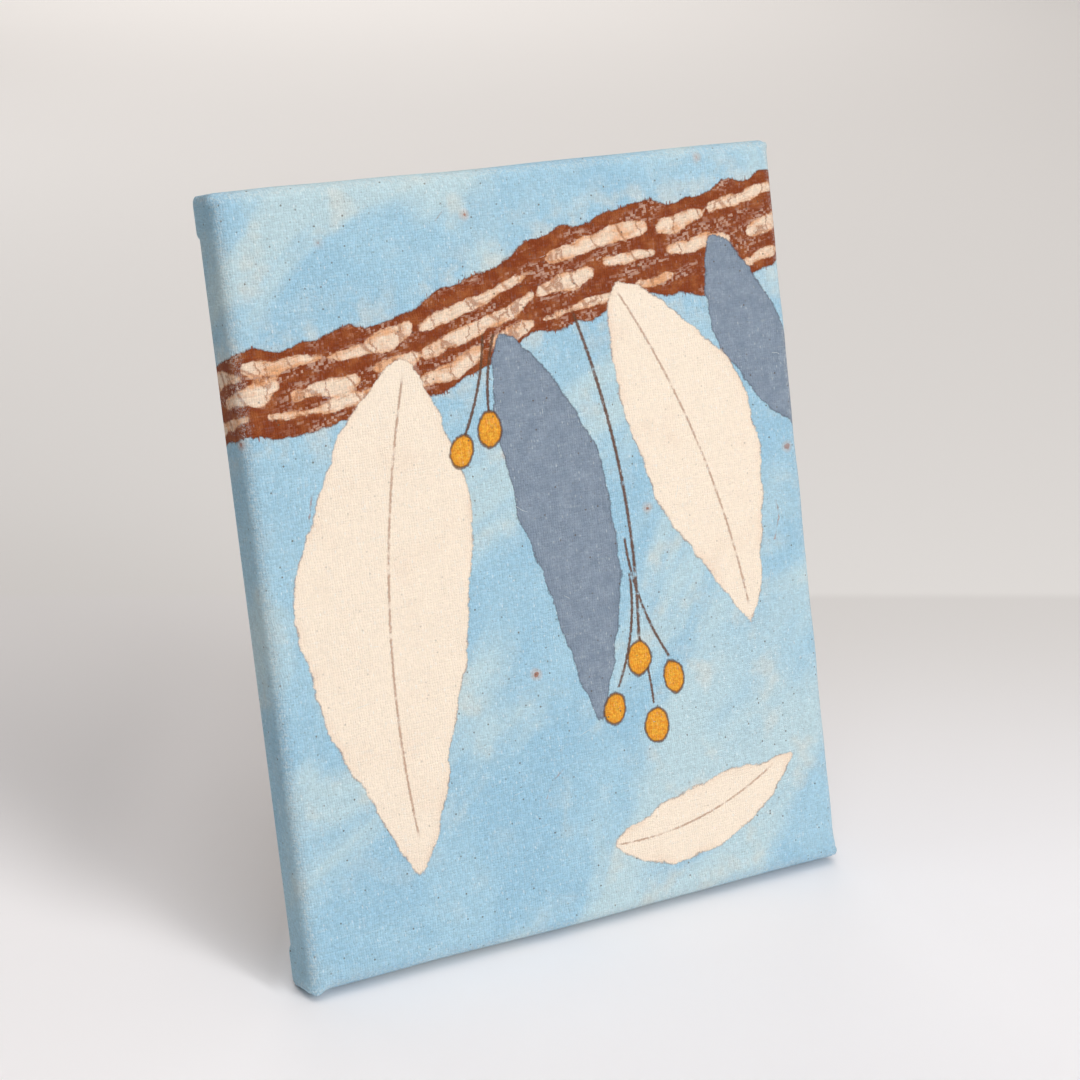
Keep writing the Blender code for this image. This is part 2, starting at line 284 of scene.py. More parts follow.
def split(tree, vector):
    return tuple(put(tree, "ShaderNodeSeparateXYZ", Vector=vector).outputs)


def joined(tree, x, y, z=0.0):
    return made(tree, "ShaderNodeCombineXYZ", X=x, Y=y, Z=z)


def new_material(name, preview, **shader_inputs):
    """A material with its shader's own numbers set; returns it, its tree and its shader."""
    material = bpy.data.materials.new(name)
    material.use_nodes = True
    material.diffuse_color = preview
    tree = material.node_tree
    shader = tree.nodes["Principled BSDF"]
    for socket, value in shader_inputs.items():
        shader.inputs[socket.replace("_", " ")].default_value = value
    return material, tree, shader


def attribute(tree, name):
    return put(tree, "ShaderNodeAttribute", {"attribute_name": name}).outputs["Fac"]


def own_place(tree):
    """Object coordinates, in metres."""
    return put(tree, "ShaderNodeTexCoord").outputs["Object"]


def emboss(tree, shader, height, strength, deep):
    """Give a shader relief; deep is in metres."""
    bump = made(tree, "ShaderNodeBump", Height=height, Strength=strength, Distance=deep)
    feed(tree, shader.inputs["Normal"], bump)


# ---------------------------------------------------------------- the design, on the flat cut
def leaf_outline(base, tip, wide, bend, seed):
    """A closed leaf with a soft, hand-drawn edge; bend bows its axis sideways."""
    base = np.array(base, float)
    tip = np.array(tip, float)
    along = tip - base
    length = np.hypot(*along)
    along /= length
    across = np.array((-along[1], along[0]))
    wave = np.random.default_rng(seed).uniform(0, 2 * pi, 4)
    share = (1 - np.cos(np.linspace(0, pi, 44))) / 2
    half = wide / 2 * np.sin(pi * share ** 0.82) ** 0.86
    points = []
    for hand, order in ((1, slice(None)), (-1, slice(-2, 0, -1))):
        scallop = (1 + 0.055 * np.sin(9 * share + wave[0] + hand) +
                   0.035 * np.sin(21 * share + wave[1] * hand + wave[2]))
        side = hand * half * scallop + bend * length * np.sin(pi * share) * 0.5
        line = base + np.outer(share * length, along) + np.outer(side, across)
        points.append(line[order])
    return np.concatenate(points)


def bough_middle(x):
    """Height of the bough's middle above the panel's middle."""
    return BOUGH_LEVEL + BOUGH_RISE * x + 0.0035 * np.sin(x * 46 + 0.6)


def bough_half(x):
    """Half of the bough's breadth, which grows towards the right."""
    return 0.0125 + 0.0168 * (x + BOUGH_REACH)


def bough_outline():
    x = np.linspace(-BOUGH_REACH, BOUGH_REACH, 90)
    top = bough_middle(x) + bough_half(x) + 0.0012 * np.sin(x * 170) + 0.0007 * np.sin(x * 390 + 1)
    foot = (bough_middle(x) - bough_half(x) + 0.0014 * np.sin(x * 120 + 2)
            + 0.0006 * np.sin(x * 430))
    return np.concatenate([np.stack([x, foot], 1), np.stack([x, top], 1)[::-1]])


def wax_strokes():
    """Brushed strokes of resist along the bough, each a full head and a thinner tail."""
    random = np.random.default_rng(11)
    strokes = []
    for lane, lane_off in enumerate((-0.60, -0.02, 0.56)):
        x = -BOUGH_REACH + 0.009 * lane
        while x < 0.138:
            length = random.uniform(0.014, 0.042)
            gap = random.uniform(0.003, 0.013)
            off = (lane_off + random.uniform(-0.14, 0.14)) * bough_half(x)
            head = random.uniform(0.0014, 0.0034)
            tail = head * random.uniform(0.2, 0.7)
            spine = []
            for share in (0.0, 0.38, 0.72, 1.0):
                here = x + share * length
                sway = random.uniform(-1.1, 1.1) * MM
                spine.append(np.array((here, bough_middle(here) + off + sway)))
            if random.random() < 0.4:
                spine.reverse()
            widths = (head * 0.75, head, (head + tail) / 2, tail)
            for step in range(3):
                strokes.append((spine[step], spine[step + 1], widths[step], widths[step + 1]))
            x += length + gap
    return strokes


# each leaf: base and tip, in metres from the middle of the face, width, and bend (share of length)
CREAM_LEAVES = (
    ((-0.046, 0.070), (-0.060, -0.098), 0.060, -0.10),
    ((0.036, 0.086), (0.076, -0.038), 0.046, 0.10),
    ((0.012, -0.104), (0.088, -0.086), 0.024, -0.16),
)
SLATE_LEAVES = (
    ((-0.010, 0.074), (0.012, -0.060), 0.034, 0.12),
    ((0.074, 0.098), (0.118, 0.020), 0.026, -0.14),
)
# each berry: middle, half of its width and height, and how far it is turned
GOLD_BERRIES = (
    ((0.0292, -0.0415), 0.0042, 0.0058, -0.10),
    ((0.0420, -0.0500), 0.0038, 0.0055, 0.22),
    ((0.0180, -0.0570), 0.0039, 0.0055, -0.30),
    ((0.0334, -0.0655), 0.0045, 0.0060, 0.05),
    ((-0.0172, 0.0430), 0.0041, 0.0058, -0.12),
    ((-0.0280, 0.0375), 0.0038, 0.0054, -0.34),
)
# thin drawn lines: start, end, bow (share of length), width, and how broken it is
STEMS = (
    ((0.018, 0.078), (0.030, -0.034), 0.10, 0.0012, 0.30),
    ((0.0285, 0.000), (0.041, -0.043), -0.12, 0.0010, 0.32),
    ((0.0290, -0.012), (0.020, -0.050), 0.14, 0.0010, 0.32),
    ((0.0300, -0.034), (0.033, -0.058), 0.06, 0.0009, 0.0),
    ((-0.012, 0.074), (-0.0168, 0.0465), -0.10, 0.0010, 0.0),
    ((-0.016, 0.074), (-0.0272, 0.0410), 0.10, 0.0010, 0.0),
)
VEINS = (
    ((-0.046, 0.064), (-0.0595, -0.084), -0.10, 0.00085, 0.32),
    ((0.036, 0.082), (0.0748, -0.030), 0.10, 0.00080, 0.34),
    ((0.014, -0.1035), (0.078, -0.0885), -0.15, 0.00070, 0.36),
)
CRACKS = (
    ((-0.090, -0.010), (-0.083, 0.016), 0.10, 0.0005, 0.5),
    ((-0.012, -0.082), (-0.004, -0.073), 0.2, 0.0005, 0.45),
    ((0.088, -0.010), (0.0905, 0.004), -0.15, 0.0005, 0.45),
    ((-0.084, 0.022), (-0.080, 0.034), 0.10, 0.0006, 0.46),
    ((-0.028, 0.112), (-0.020, 0.118), 0.1, 0.0004, 0.5),
    ((0.052, -0.064), (0.062, -0.060), -0.2, 0.0005, 0.5),
    ((0.000, -0.118), (-0.016, -0.113), 0.1, 0.0004, 0.5),
)


def signed_distance(points, outline):
    """Distance from each point to a closed outline, negative inside it."""
    best = np.full(len(points), np.inf)
    within = np.zeros(len(points), bool)
    for start, end in zip(outline, np.roll(outline, -1, axis=0)):
        run = end - start
        from_start = points - start
        share = np.clip((from_start @ run) / max(run @ run, 1e-16), 0.0, 1.0)
        best = np.minimum(best, np.hypot(*(from_start - np.outer(share, run)).T))
        spans = (start[1] > points[:, 1]) != (end[1] > points[:, 1])
        if spans.any():
            reach = run[0] * (points[:, 1] - start[1]) / (run[1] if run[1] else 1e-16) + start[0]
            within ^= spans & (points[:, 0] < reach)
    return np.where(within, -best, best)


def stroke_distance(points, start, end, half_start, half_end):
    """Distance to the edge of a rounded, tapering stroke."""
    run = end - start
    from_start = points - start
    share = np.clip((from_start @ run) / (run @ run), 0.0, 1.0)
    away = np.hypot(*(from_start - np.outer(share, run)).T)
    return away - (half_start + (half_end - half_start) * share)


def nearest_of(distances):
    return np.min(np.stack(list(distances)), axis=0)


def design_distances(flat):
    """The signed distances that the cloth's dye reads, at points of the flat cut."""
    def to_leaves(leaves, first_seed):
        return nearest_of(signed_distance(flat, leaf_outline(*leaf, first_seed + number))
                          for number, leaf in enumerate(leaves))

    return {
        "dye_leaf": to_leaves(CREAM_LEAVES, 0),
        "dye_slate": to_leaves(SLATE_LEAVES, 10),
        "dye_bough": signed_distance(flat, bough_outline()),
        "dye_stroke": nearest_of(stroke_distance(flat, *stroke) for stroke in wax_strokes()),
    }


# ---------------------------------------------------------------- the stretched cloth
def graded(half):
    """Grid lines from -half to half, closer together near both ends."""
    near = np.arange(0.0, GRID_BAND, GRID_FINE)
    middle = half - near[-1]
    count = int(round(2 * middle / GRID_COARSE))
    inner = np.linspace(-middle, middle, count + 1)
    return np.concatenate([-half + near[:-1], inner, half - near[:-1][::-1]])


def section(thick):
    """Levels from the face's edge round to the cut edge: side offset, depth, and the normal."""
    levels = []
    for angle in np.linspace(-0.5 * pi, 0.0, 9):
        reach = FRONT_ROUND - thick
        levels.append((-FRONT_ROUND + reach * cos(angle), FRONT_ROUND + reach * sin(angle),
                       cos(angle), sin(angle)))
    for back in np.linspace(FRONT_ROUND, DEEP - BACK_ROUND, 8)[1:-1]:
        levels.append((-thick, back, 1.0, 0.0))
    for angle in np.linspace(0.0, 0.5 * pi, 5):
        reach = BACK_ROUND - thick
        levels.append((-BACK_ROUND + reach * cos(angle), DEEP - BACK_ROUND + reach * sin(angle),
                       cos(angle), sin(angle)))
    for inward in np.linspace(BACK_ROUND, MARGIN, 13)[1:]:
        levels.append((-inward, DEEP - thick, 0.0, 1.0))
    return np.array(levels)


SECTION = section(0.0)
BEYOND = np.concatenate([[0.0], np.cumsum(np.hypot(*np.diff(SECTION[:, :2], axis=0).T))])


def corner_round(side):
    """How round the corner is in plan: sharp at the face, soft on the walls."""
    return 0.0003 + 0.0021 * np.clip(1 + side / FRONT_ROUND, 0.0, 1.0)


def edge_slack(edge, along, depth):
    """Where the cloth lies slack or full along an edge, outwards, in metres."""
    front = 1 - smoothstep(depth, FRONT_ROUND * 0.6, DEEP)
    if edge == "top":
        wave = (-0.48 * hump(along, -0.012, 0.018) + 0.24 * hump(along, -0.080, 0.012)
                + 0.26 * hump(along, 0.074, 0.020))
    elif edge == "bottom":
        wave = (0.33 * hump(along, -0.002, 0.026) - 0.26 * hump(along, -0.056, 0.018)
                - 0.20 * hump(along, 0.074, 0.018))
    else:
        wave = 0.10 * np.sin(along * 120 + 1.2) + 0.07 * np.sin(along * 215)
    return wave * MM * front


def ply_height(edge, from_corner, depth, inward):
    """The corner's folded plies: a triangle on the side walls, carried on over the back."""
    if edge in ("bottom", "top"):
        return np.zeros_like(from_corner)
    wall_reach = 0.0010 + 0.0115 * np.clip((depth - 0.0015) / (DEEP - 0.0035), 0.0, 1.0)
    reach = np.where(inward > 0, 0.0125 + 0.62 * inward, wall_reach)
    on_wall = smoothstep(depth, 0.0008, 0.0040)
    return PLY_RISE * on_wall * (1 - smoothstep(from_corner, reach - 0.0003, reach + 0.0005))


def ear(points, middle, spread):
    return np.exp(-((points - np.array(middle)) ** 2).sum(1) / spread ** 2)


def push_corners(points):
    """Small ears of folded cloth at the bottom corners."""
    low_left = ear(points, (-WIDE / 2 + 0.0022, -DEEP + 0.0020, 0.0006), 0.0027)
    low_right = ear(points, (WIDE / 2, -DEEP + 0.0040, 0.0040), 0.0042)
    return (points + np.outer(low_left, (-0.0002, -0.0003, -0.0016))
            + np.outer(low_right, (0.0007, -0.0002, -0.0002)))


def face_sag(x, z):
    """The face is pulled tight; it only breathes a little between the bars."""
    across = np.clip(1 - (x / FACE_X) ** 2, 0, 1)
    up = np.clip(1 - ((z - HIGH / 2) / FACE_Z) ** 2, 0, 1)
    dish = 0.00035 * (across * up) ** 0.6
    ripple = 0.00006 * np.sin(x * 95 + 1.7 * np.sin(z * 31)) * np.sin(z * 70 + 0.8)
    return dish + ripple * np.sqrt(across * up)


def face_points(columns, rows, behind=0.0):
    """The grid of points on the face of the upright panel, row by row from the bottom."""
    grid_x, grid_z = np.meshgrid(columns, rows)
    points = np.stack([grid_x.ravel(), np.full(grid_x.size, behind - DEEP),
                       grid_z.ravel() + HIGH / 2], 1)
    points[:, 1] += face_sag(points[:, 0], points[:, 2])
    return points


def face_numbers(columns, rows):
    """The vertex numbers of that grid."""
    return np.arange(len(columns) * len(rows)).reshape(len(rows), len(columns))


def grid_quads(numbers):
    """The quads between a grid's numbers, facing the front."""
    return np.stack([numbers[:-1, :-1], numbers[:-1, 1:], numbers[1:, 1:], numbers[1:, :-1]],
                    -1).reshape(-1, 4)


def rounded_corner(x, z, side, edges):
    """One level's outline with its corners rounded, and the way out from each of its points."""
    half_x, half_z = WIDE / 2 + side, HIGH / 2 + side
    radius = corner_round(side)
    from_x = np.abs(x) - (half_x - radius)
    from_z = np.abs(z) - (half_z - radius)
    at_corner = (from_x > 0) & (from_z > 0)
    reach = np.maximum(np.hypot(from_x, from_z), 1e-9)
    normal = np.stack([np.where(np.isin(edges, (1, 3)), np.sign(x), 0.0),
                       np.where(np.isin(edges, (0, 2)), np.sign(z), 0.0)], 1)
    normal[at_corner] = np.stack([np.sign(x) * from_x, np.sign(z) * from_z], 1)[at_corner]
    normal /= np.maximum(np.hypot(*normal.T), 1e-9)[:, None]
    x = np.where(at_corner, np.sign(x) * (half_x - radius + from_x * radius / reach), x)
    z = np.where(at_corner, np.sign(z) * (half_z - radius + from_z * radius / reach), z)
    return x, z, normal


def edge_lift(x, z, side, depth, edges):
    """How far the cloth of one level stands out: its slack and the corners' plies."""
    lift = np.zeros(len(x))
    inward = max(0.0, -side - BACK_ROUND) if depth > DEEP - 2 * BACK_ROUND else 0.0
    for number, edge in enumerate(EDGES):
        along, limit = (x, WIDE / 2 + side) if edge in ("bottom", "top") else (z, HIGH / 2 + side)
        from_corner = limit - np.abs(along) + inward
        lift += np.where(edges == number, 1.0, 0.0) * (
            edge_slack(edge, along, depth) + ply_height(edge, from_corner, depth, inward))
    return lift


def sheet_layer(thick):
    """Points of one layer of the sheet: the face's grid, then a ring for each level after it."""
    columns = graded(FACE_X)
    rows = graded(FACE_Z)
    ring, edges = rim(columns, rows)
    parts = [face_points(columns, rows, thick)]
    for side, depth, out, back in section(thick)[1:]:
        x, z, normal = rounded_corner(ring[:, 0] * (WIDE / 2 + side) / FACE_X,
                                      ring[:, 1] * (HIGH / 2 + side) / FACE_Z, side, edges)
        lift = edge_lift(x, z, side, depth, edges)
        parts.append(np.stack([x + normal[:, 0] * out * lift, depth - DEEP + back * lift,
                               z + HIGH / 2 + normal[:, 1] * out * lift], 1))
    return push_corners(np.concatenate(parts)), columns, rows, ring, edges


def rim(columns, rows):
    """The face grid's rim, anticlockwise from the bottom left, and each point's edge number."""
    last_x, last_z = columns[-1], rows[-1]
    bottom = [(x, -last_z) for x in columns[:-1]]
    right = [(last_x, z) for z in rows[:-1]]
    top = [(x, last_z) for x in columns[:0:-1]]
    left = [(-last_x, z) for z in rows[:0:-1]]
    edges = [0] * len(bottom) + [1] * len(right) + [2] * len(top) + [3] * len(left)
    return np.array(bottom + right + top + left), np.array(edges)


def rim_numbers(numbers):
    """The face grid's vertex numbers along its rim, in the same order."""
    return np.concatenate([numbers[0, :-1], numbers[:-1, -1], numbers[-1, :0:-1],
                           numbers[:0:-1, 0]])


def sheet_faces(columns, rows, ring, edges):
    """One layer's quads and the flat-cut position of each of their corners."""
    numbers = face_numbers(columns, rows)
    quads = grid_quads(numbers)
    on_face = np.stack(np.meshgrid(columns, rows), -1).reshape(-1, 2)
    flats = [on_face[quads].reshape(-1, 2)]
    faces = [quads]
    inner = rim_numbers(numbers)
    for level in range(1, len(SECTION)):
        outer = numbers.size + (level - 1) * len(ring) + np.arange(len(ring))
        faces.append(np.stack([inner, outer, np.roll(outer, -1), np.roll(inner, -1)], 1))
        flats.append(band_flats(ring, edges, level).reshape(-1, 2))
        inner = outer
    return np.concatenate(faces), np.concatenate(flats)


def band_flats(ring, edges, level):
    """Flat-cut positions of one band's corners, in the order of its quads.

    All four corners of a quad are laid out on the edge that the quad belongs to."""
    corners = []
    for step, shift in ((level - 1, 0), (level, 0), (level, -1), (level - 1, -1)):
        side = SECTION[step, 0]
        here = np.roll(ring, shift, axis=0)
        x = here[:, 0] * (WIDE / 2 + side) / FACE_X
        z = here[:, 1] * (HIGH / 2 + side) / FACE_Z
        out_x, out_z = FACE_X + BEYOND[step], FACE_Z + BEYOND[step]
        ways = [np.select([edges == 1, edges == 3], [out_x, -out_x], x),
                np.select([edges == 2, edges == 0], [out_z, -out_z], z)]
        corners.append(np.stack(ways, 1))
    return np.stack(corners, 1)


def corner_layer(mesh, name, values):
    """Keep a value for each face's corner, for the materials to read."""
    layer = mesh.attributes.new(name, "FLOAT", "CORNER")
    layer.data.foreach_set("value", values.astype(np.float32))


def make_cloth():
    """The sheet as two layers and a cut edge, with its flat cut as the UV map."""
    outer_layer, columns, rows, ring, edges = sheet_layer(0.0)
    inner_layer = sheet_layer(CLOTH)[0]
    faces, flats = sheet_faces(columns, rows, ring, edges)
    count = len(outer_layer)
    last = count - len(ring) + np.arange(len(ring))
    cut_edge = np.stack([last, last + count, np.roll(last, -1) + count, np.roll(last, -1)], 1)
    edge_flats = band_flats(ring, edges, len(SECTION) - 1)[:, (1, 1, 2, 2)].reshape(-1, 2)
    all_faces = np.concatenate([faces, faces[:, ::-1] + count, cut_edge])
    inner_flats = flats.reshape(-1, 4, 2)[:, ::-1].reshape(-1, 2)
    all_flats = np.concatenate([flats, inner_flats, edge_flats])
    world = leaned(np.concatenate([outer_layer, inner_layer]))
    # the outer layer rests on the floor, and the inner one on it
    lowest = np.where(np.arange(len(world)) < count, 0.0, CLOTH * 0.8)
    world[:, 2] = np.maximum(world[:, 2], lowest)
    mesh = new_mesh("canvas_cloth_sheet", world.tolist(), all_faces.tolist())
    uv = mesh.uv_layers.new(name="flat_cut")
    uv.data.foreach_set("uv", all_flats.astype(np.float32).ravel())
    for name, values in design_distances(flats).items():
        back = values.reshape(-1, 4)[:, ::-1].ravel()
        corner_layer(mesh, name, np.concatenate([values, back, np.full(len(edge_flats), 0.05)]))
    behind = len(flats) + len(edge_flats)
    corner_layer(mesh, "reverse_side", np.repeat((0.0, 1.0), (len(flats), behind)))
    mesh.shade_smooth()
    return add_object("cloth_sheet", mesh)


# ---------------------------------------------------------------- cloth finish
def plain_weave(tree, flat_mm):
    """One thread over and one under, with uneven hand-spun threads.

    Gives the height, a chance value for each crossing, and how thick each thread runs."""
    drift = clouds(tree, scaled(tree, flat_mm, (0.12, 0.12, 1.0)), 1.0, 3.0, 0.6)
    x, y, _ = split(tree, flat_mm)
    warp = add(tree, times(tree, x, pi / WARP_PITCH), times(tree, drift, 9.0))
    weft = add(tree, times(tree, y, pi / WEFT_PITCH), times(tree, drift, -7.0))
    sin_warp = calc(tree, "SINE", warp)
    sin_weft = calc(tree, "SINE", weft)
    product = times(tree, sin_warp, sin_weft)
    over_warp = add(tree, calc(tree, "ABSOLUTE", sin_warp), product)
    over_weft = minus(tree, calc(tree, "ABSOLUTE", sin_weft), product)
    # single threads that run thick or thin for a stretch
    warp_uneven = clouds(tree, scaled(tree, flat_mm, (1.15, 0.10, 1.0)), 1.0, 2.0)
    weft_uneven = clouds(tree, scaled(tree, flat_mm, (0.10, 1.14, 1.0), (9.0, 4.0, 0.0)), 1.0, 2.0)
    over_warp = times(tree, over_warp, ramp(tree, warp_uneven, 0.25, 0.75, 0.55, 1.30))
    over_weft = times(tree, over_weft, ramp(tree, weft_uneven, 0.25, 0.75, 0.55, 1.30))
    column = calc(tree, "FLOOR", times(tree, warp, 1 / pi))
    row = calc(tree, "FLOOR", times(tree, weft, 1 / pi))
    chance = made(tree, "ShaderNodeTexWhiteNoise", {"noise_dimensions": "2D"},
                  Vector=joined(tree, column, row))
    height = calc(tree, "MAXIMUM", over_warp, over_weft)
    return {"height": height, "chance": chance, "warp": warp_uneven, "weft": weft_uneven}


def inside(tree, edge):
    """1 within a motif's edge and 0 beyond it, with a slightly soft cut."""
    return ramp(tree, edge, EDGE_SOFT, -EDGE_SOFT)


def rim_of(tree, edge, outer, inner):
    """A line along a motif's edge, full out to the inner distance and gone at the outer."""
    return ramp(tree, calc(tree, "ABSOLUTE", edge), outer, inner)


def drawn_line(tree, flat_mm, start, end, bow, wide, broken, wobble, gaps):
    """How much of a thin bowed line covers each point, from 0 to 1."""
    start = Vector(start) * TO_MM
    end = Vector(end) * TO_MM
    chord = end - start
    length = chord.length
    along = chord / length
    middle = (start + end) / 2
    x, y, _ = split(tree, flat_mm)

    def measured(way):
        """How far each point lies from the chord's middle, along a way."""
        return add(tree, add(tree, times(tree, x, way.x), times(tree, y, way.y)), -middle.dot(way))

    share = times(tree, measured(along), 2 / length)
    off = measured(Vector((-along.y, along.x)))
    bowed = times(tree, minus(tree, 1.0, times(tree, share, share)), bow * length / 2)
    away = add(tree, minus(tree, off, bowed), wobble)
    half = wide * TO_MM / 2
    cover = times(tree, rim_of(tree, away, half * 1.5, half * 0.5),
                  rim_of(tree, share, 1.02, 0.97))
    if broken:
        cover = times(tree, cover, ramp(tree, gaps, broken, broken + 0.16, 0.12, 1.0))
    return cover


def dyed_cotton():
    """Resist-dyed cotton: mottled sky ground, leaves, bough and berries, over a coarse weave."""
    material, tree, shader = new_material(
        "dyed_cotton", SKY, Roughness=0.92, Specular_IOR_Level=0.20, Sheen_Weight=0.03,
        Sheen_Roughness=0.6)
    flat = made(tree, "ShaderNodeUVMap", {"uv_map": "flat_cut"})
    flat_mm = scaled(tree, flat, (TO_MM, TO_MM, TO_MM))
    weave = plain_weave(tree, flat_mm)

    # noise that several dyes share, from broad drifts down to single fibres
    broad = clouds(tree, flat_mm, 0.11, 3.0, 0.55)
    mottle = clouds(tree, flat_mm, 0.20, 4.0, 0.62)
    fine = clouds(tree, flat_mm, 0.9, 2.0, 0.6)
    bleed = clouds(tree, flat_mm, 2.6, 2.0, 0.6)
    wobble = over_all(tree, "ADD", [swing(tree, broad, 4.6), swing(tree, fine, 1.1),
                                    swing(tree, bleed, 0.6)])
    line_wobble = swing(tree, fine, 0.9)

    def edge_of(name):
        return add(tree, times(tree, attribute(tree, name), TO_MM), wobble)

    def drawn(colour, lines, line_colour, strength, unsteady=line_wobble):
        cover = over_all(tree, "MAXIMUM", [drawn_line(tree, flat_mm, *line, unsteady, mottle)
                                           for line in lines])
        return blend(tree, times(tree, cover, strength), colour, line_colour)

    colour = sky_ground(tree, flat_mm, fine)
    colour = drawn(colour, CRACKS, RUST_LIGHT, 0.55, times(tree, wobble, 0.7))
    along_warp = clouds(tree, scaled(tree, flat_mm, (1.5, 0.22, 1.0), (5.0, 8.0, 0.0)), 1.0, 2.0)
    creep = ramp(tree, along_warp, 0.58, 0.80, 0.0, -2.2)
    bough = add(tree, edge_of("dye_bough"), creep)
    tinted = times(tree, ramp(tree, bough, 16.0, 0.5), ramp(tree, broad, 0.42, 0.66))
    colour = blend(tree, times(tree, tinted, 0.55), colour, SKY_THIN)
    colour = spatter(tree, flat_mm, colour, wobble)
    colour, soaked = lay_bough(tree, flat_mm, colour, bough, edge_of("dye_stroke"), mottle,
                               bleed, weave)
    slate = edge_of("dye_slate")
    colour = lay_slate(tree, colour, slate, mottle, broad)
    soaked = calc(tree, "MAXIMUM", times(tree, inside(tree, slate), 0.6), soaked)
    leaf = edge_of("dye_leaf")
    colour = lay_cream(tree, flat_mm, colour, leaf, mottle, bleed)
    colour = drawn(colour, STEMS, STEM_BROWN, 0.94)
    colour = drawn(colour, VEINS, VEIN_BROWN, 0.62)
    colour, golden = lay_gold(tree, flat_mm, colour, wobble, fine)
    soaked = calc(tree, "MAXIMUM", golden, soaked)
    colour = thread_tone(tree, flat_mm, colour, weave, bleed, soaked, inside(tree, leaf))
    colour = worn_edges(tree, flat, colour, fine, bleed)
    reverse = times(tree, attribute(tree, "reverse_side"), 0.42)
    feed(tree, shader.inputs["Base Color"], blend(tree, reverse, colour, REVERSE_PALE))
    relief = over_all(tree, "ADD", [times(tree, weave["height"], 0.38), times(tree, bleed, 0.5),
                                    times(tree, weave["chance"], 0.16), times(tree, fine, 0.9)])
    emboss(tree, shader, relief, 0.8, 0.00026)
    return material


def sky_ground(tree, flat_mm, fine):
    """Pale blue with drifts of thinner dye running up to the right."""
    slanted = turned_flat(tree, flat_mm, radians(-38))
    bands = scaled(tree, slanted, (0.010, 0.021, 1.0), (3.1, 1.7, 0.0))
    drifts = clouds(tree, bands, 1.0, 4.0, 0.50, 0.9)
    patches = clouds(tree, flat_mm, 0.024, 4.0, 0.55, 0.6)
    dabs = clouds(tree, flat_mm, 0.070, 3.0, 0.5)
    colour = blend(tree, ramp(tree, patches, 0.36, 0.64), SKY_DEEP, SKY)
    colour = blend(tree, ramp(tree, drifts, 0.47, 0.64, 0.0, 0.85), colour, SKY_PALE)
    thin = times(tree, ramp(tree, dabs, 0.52, 0.72), ramp(tree, drifts, 0.46, 0.60, 0.25, 1.0))
    colour = blend(tree, times(tree, thin, 0.60), colour, SKY_THIN)
    return blend(tree, ramp(tree, fine, 0.42, 0.72, 0.0, 0.16), colour, SKY_PALE)


def spatter(tree, flat_mm, colour, wobble):
    """A few small drops of brown dye, each in a faint halo."""
    away, lot = strewn(tree, flat_mm, DROP_SCALE, 2)
    chosen = ramp(tree, lot, 0.90, 0.94)
    away = add(tree, times(tree, away, 1 / DROP_SCALE), times(tree, wobble, 0.8))
    halo = times(tree, ramp(tree, away, 2.6, 0.8), times(tree, chosen, 0.30))
    colour = blend(tree, halo, colour, STAIN_ORANGE)
    drop = times(tree, ramp(tree, away, 0.75, 0.25), times(tree, chosen, 0.75))
    return blend(tree, drop, colour, RUST_LIGHT)


def lay_bough(tree, flat_mm, colour, bough, stroke, mottle, bleed, weave):
    """Rust-brown dye broken by resist: brushed strokes, scratches and caught thread crowns."""
    along = turned_flat(tree, flat_mm, -atan2(BOUGH_RISE, 1.0))
    patch = clouds(tree, scaled(tree, along, (0.040, 0.13, 1.0)), 1.0, 3.0, 0.6)
    scratch = clouds(tree, scaled(tree, along, (0.16, 1.5, 1.0)), 1.0, 3.0, 0.7)
    brown = blend(tree, ramp(tree, mottle, 0.42, 0.72), RUST, RUST_LIGHT)
    caught = add(tree, times(tree, weave["chance"], 0.34), times(tree, scratch, 0.66))
    speckled = times(tree, ramp(tree, patch, 0.46, 0.60), ramp(tree, caught, 0.50, 0.60))
    brown = blend(tree, times(tree, speckled, 0.72), brown, CAUGHT)
    # the wax cracks across each stroke and lets the dye creep in
    drift = swing(tree, mottle, 0.8)
    wandering = vector_calc(tree, "ADD", scaled(tree, along, (0.105, 0.034, 1.0)),
                            joined(tree, drift, times(tree, drift, -0.7)))
    cells = put(tree, "ShaderNodeTexVoronoi", {"feature": "DISTANCE_TO_EDGE"}, Vector=wandering,
                Scale=1.0).outputs["Distance"]
    crack = times(tree, ramp(tree, cells, 0.055, 0.012), ramp(tree, bleed, 0.25, 0.55, 0.4, 1.0))
    stained = add(tree, times(tree, patch, 0.7), times(tree, mottle, 0.3))
    halo = times(tree, ramp(tree, stroke, -1.3, -0.1), ramp(tree, mottle, 0.36, 0.60, 0.25, 1.0))
    dry = times(tree, ramp(tree, scratch, 0.54, 0.68), ramp(tree, stroke, -2.4, -0.2, 0.12, 0.9))
    wax = blend(tree, ramp(tree, stained, 0.46, 0.62, 0.0, 0.85), WAXED, STAIN_ORANGE)
    for mark, strength, mark_colour in ((ramp(tree, bleed, 0.40, 0.66), 0.22, STAIN_ORANGE),
                                        (crack, 0.70, RUST_LIGHT), (halo, 0.60, STAIN_ORANGE),
                                        (dry, 0.60, RUST_LIGHT)):
        wax = blend(tree, times(tree, mark, strength), wax, mark_colour)
    brown = blend(tree, ramp(tree, stroke, 0.35, -0.35), brown, wax)
    covered = inside(tree, bough)
    colour = blend(tree, covered, colour, brown)
    rim = times(tree, rim_of(tree, bough, 0.60, 0.10), ramp(tree, bleed, 0.35, 0.6, 0.35, 1.0))
    soaked = times(tree, covered, ramp(tree, stroke, -0.35, 0.35))
    return blend(tree, times(tree, rim, 0.6), colour, RUST_DARK), soaked


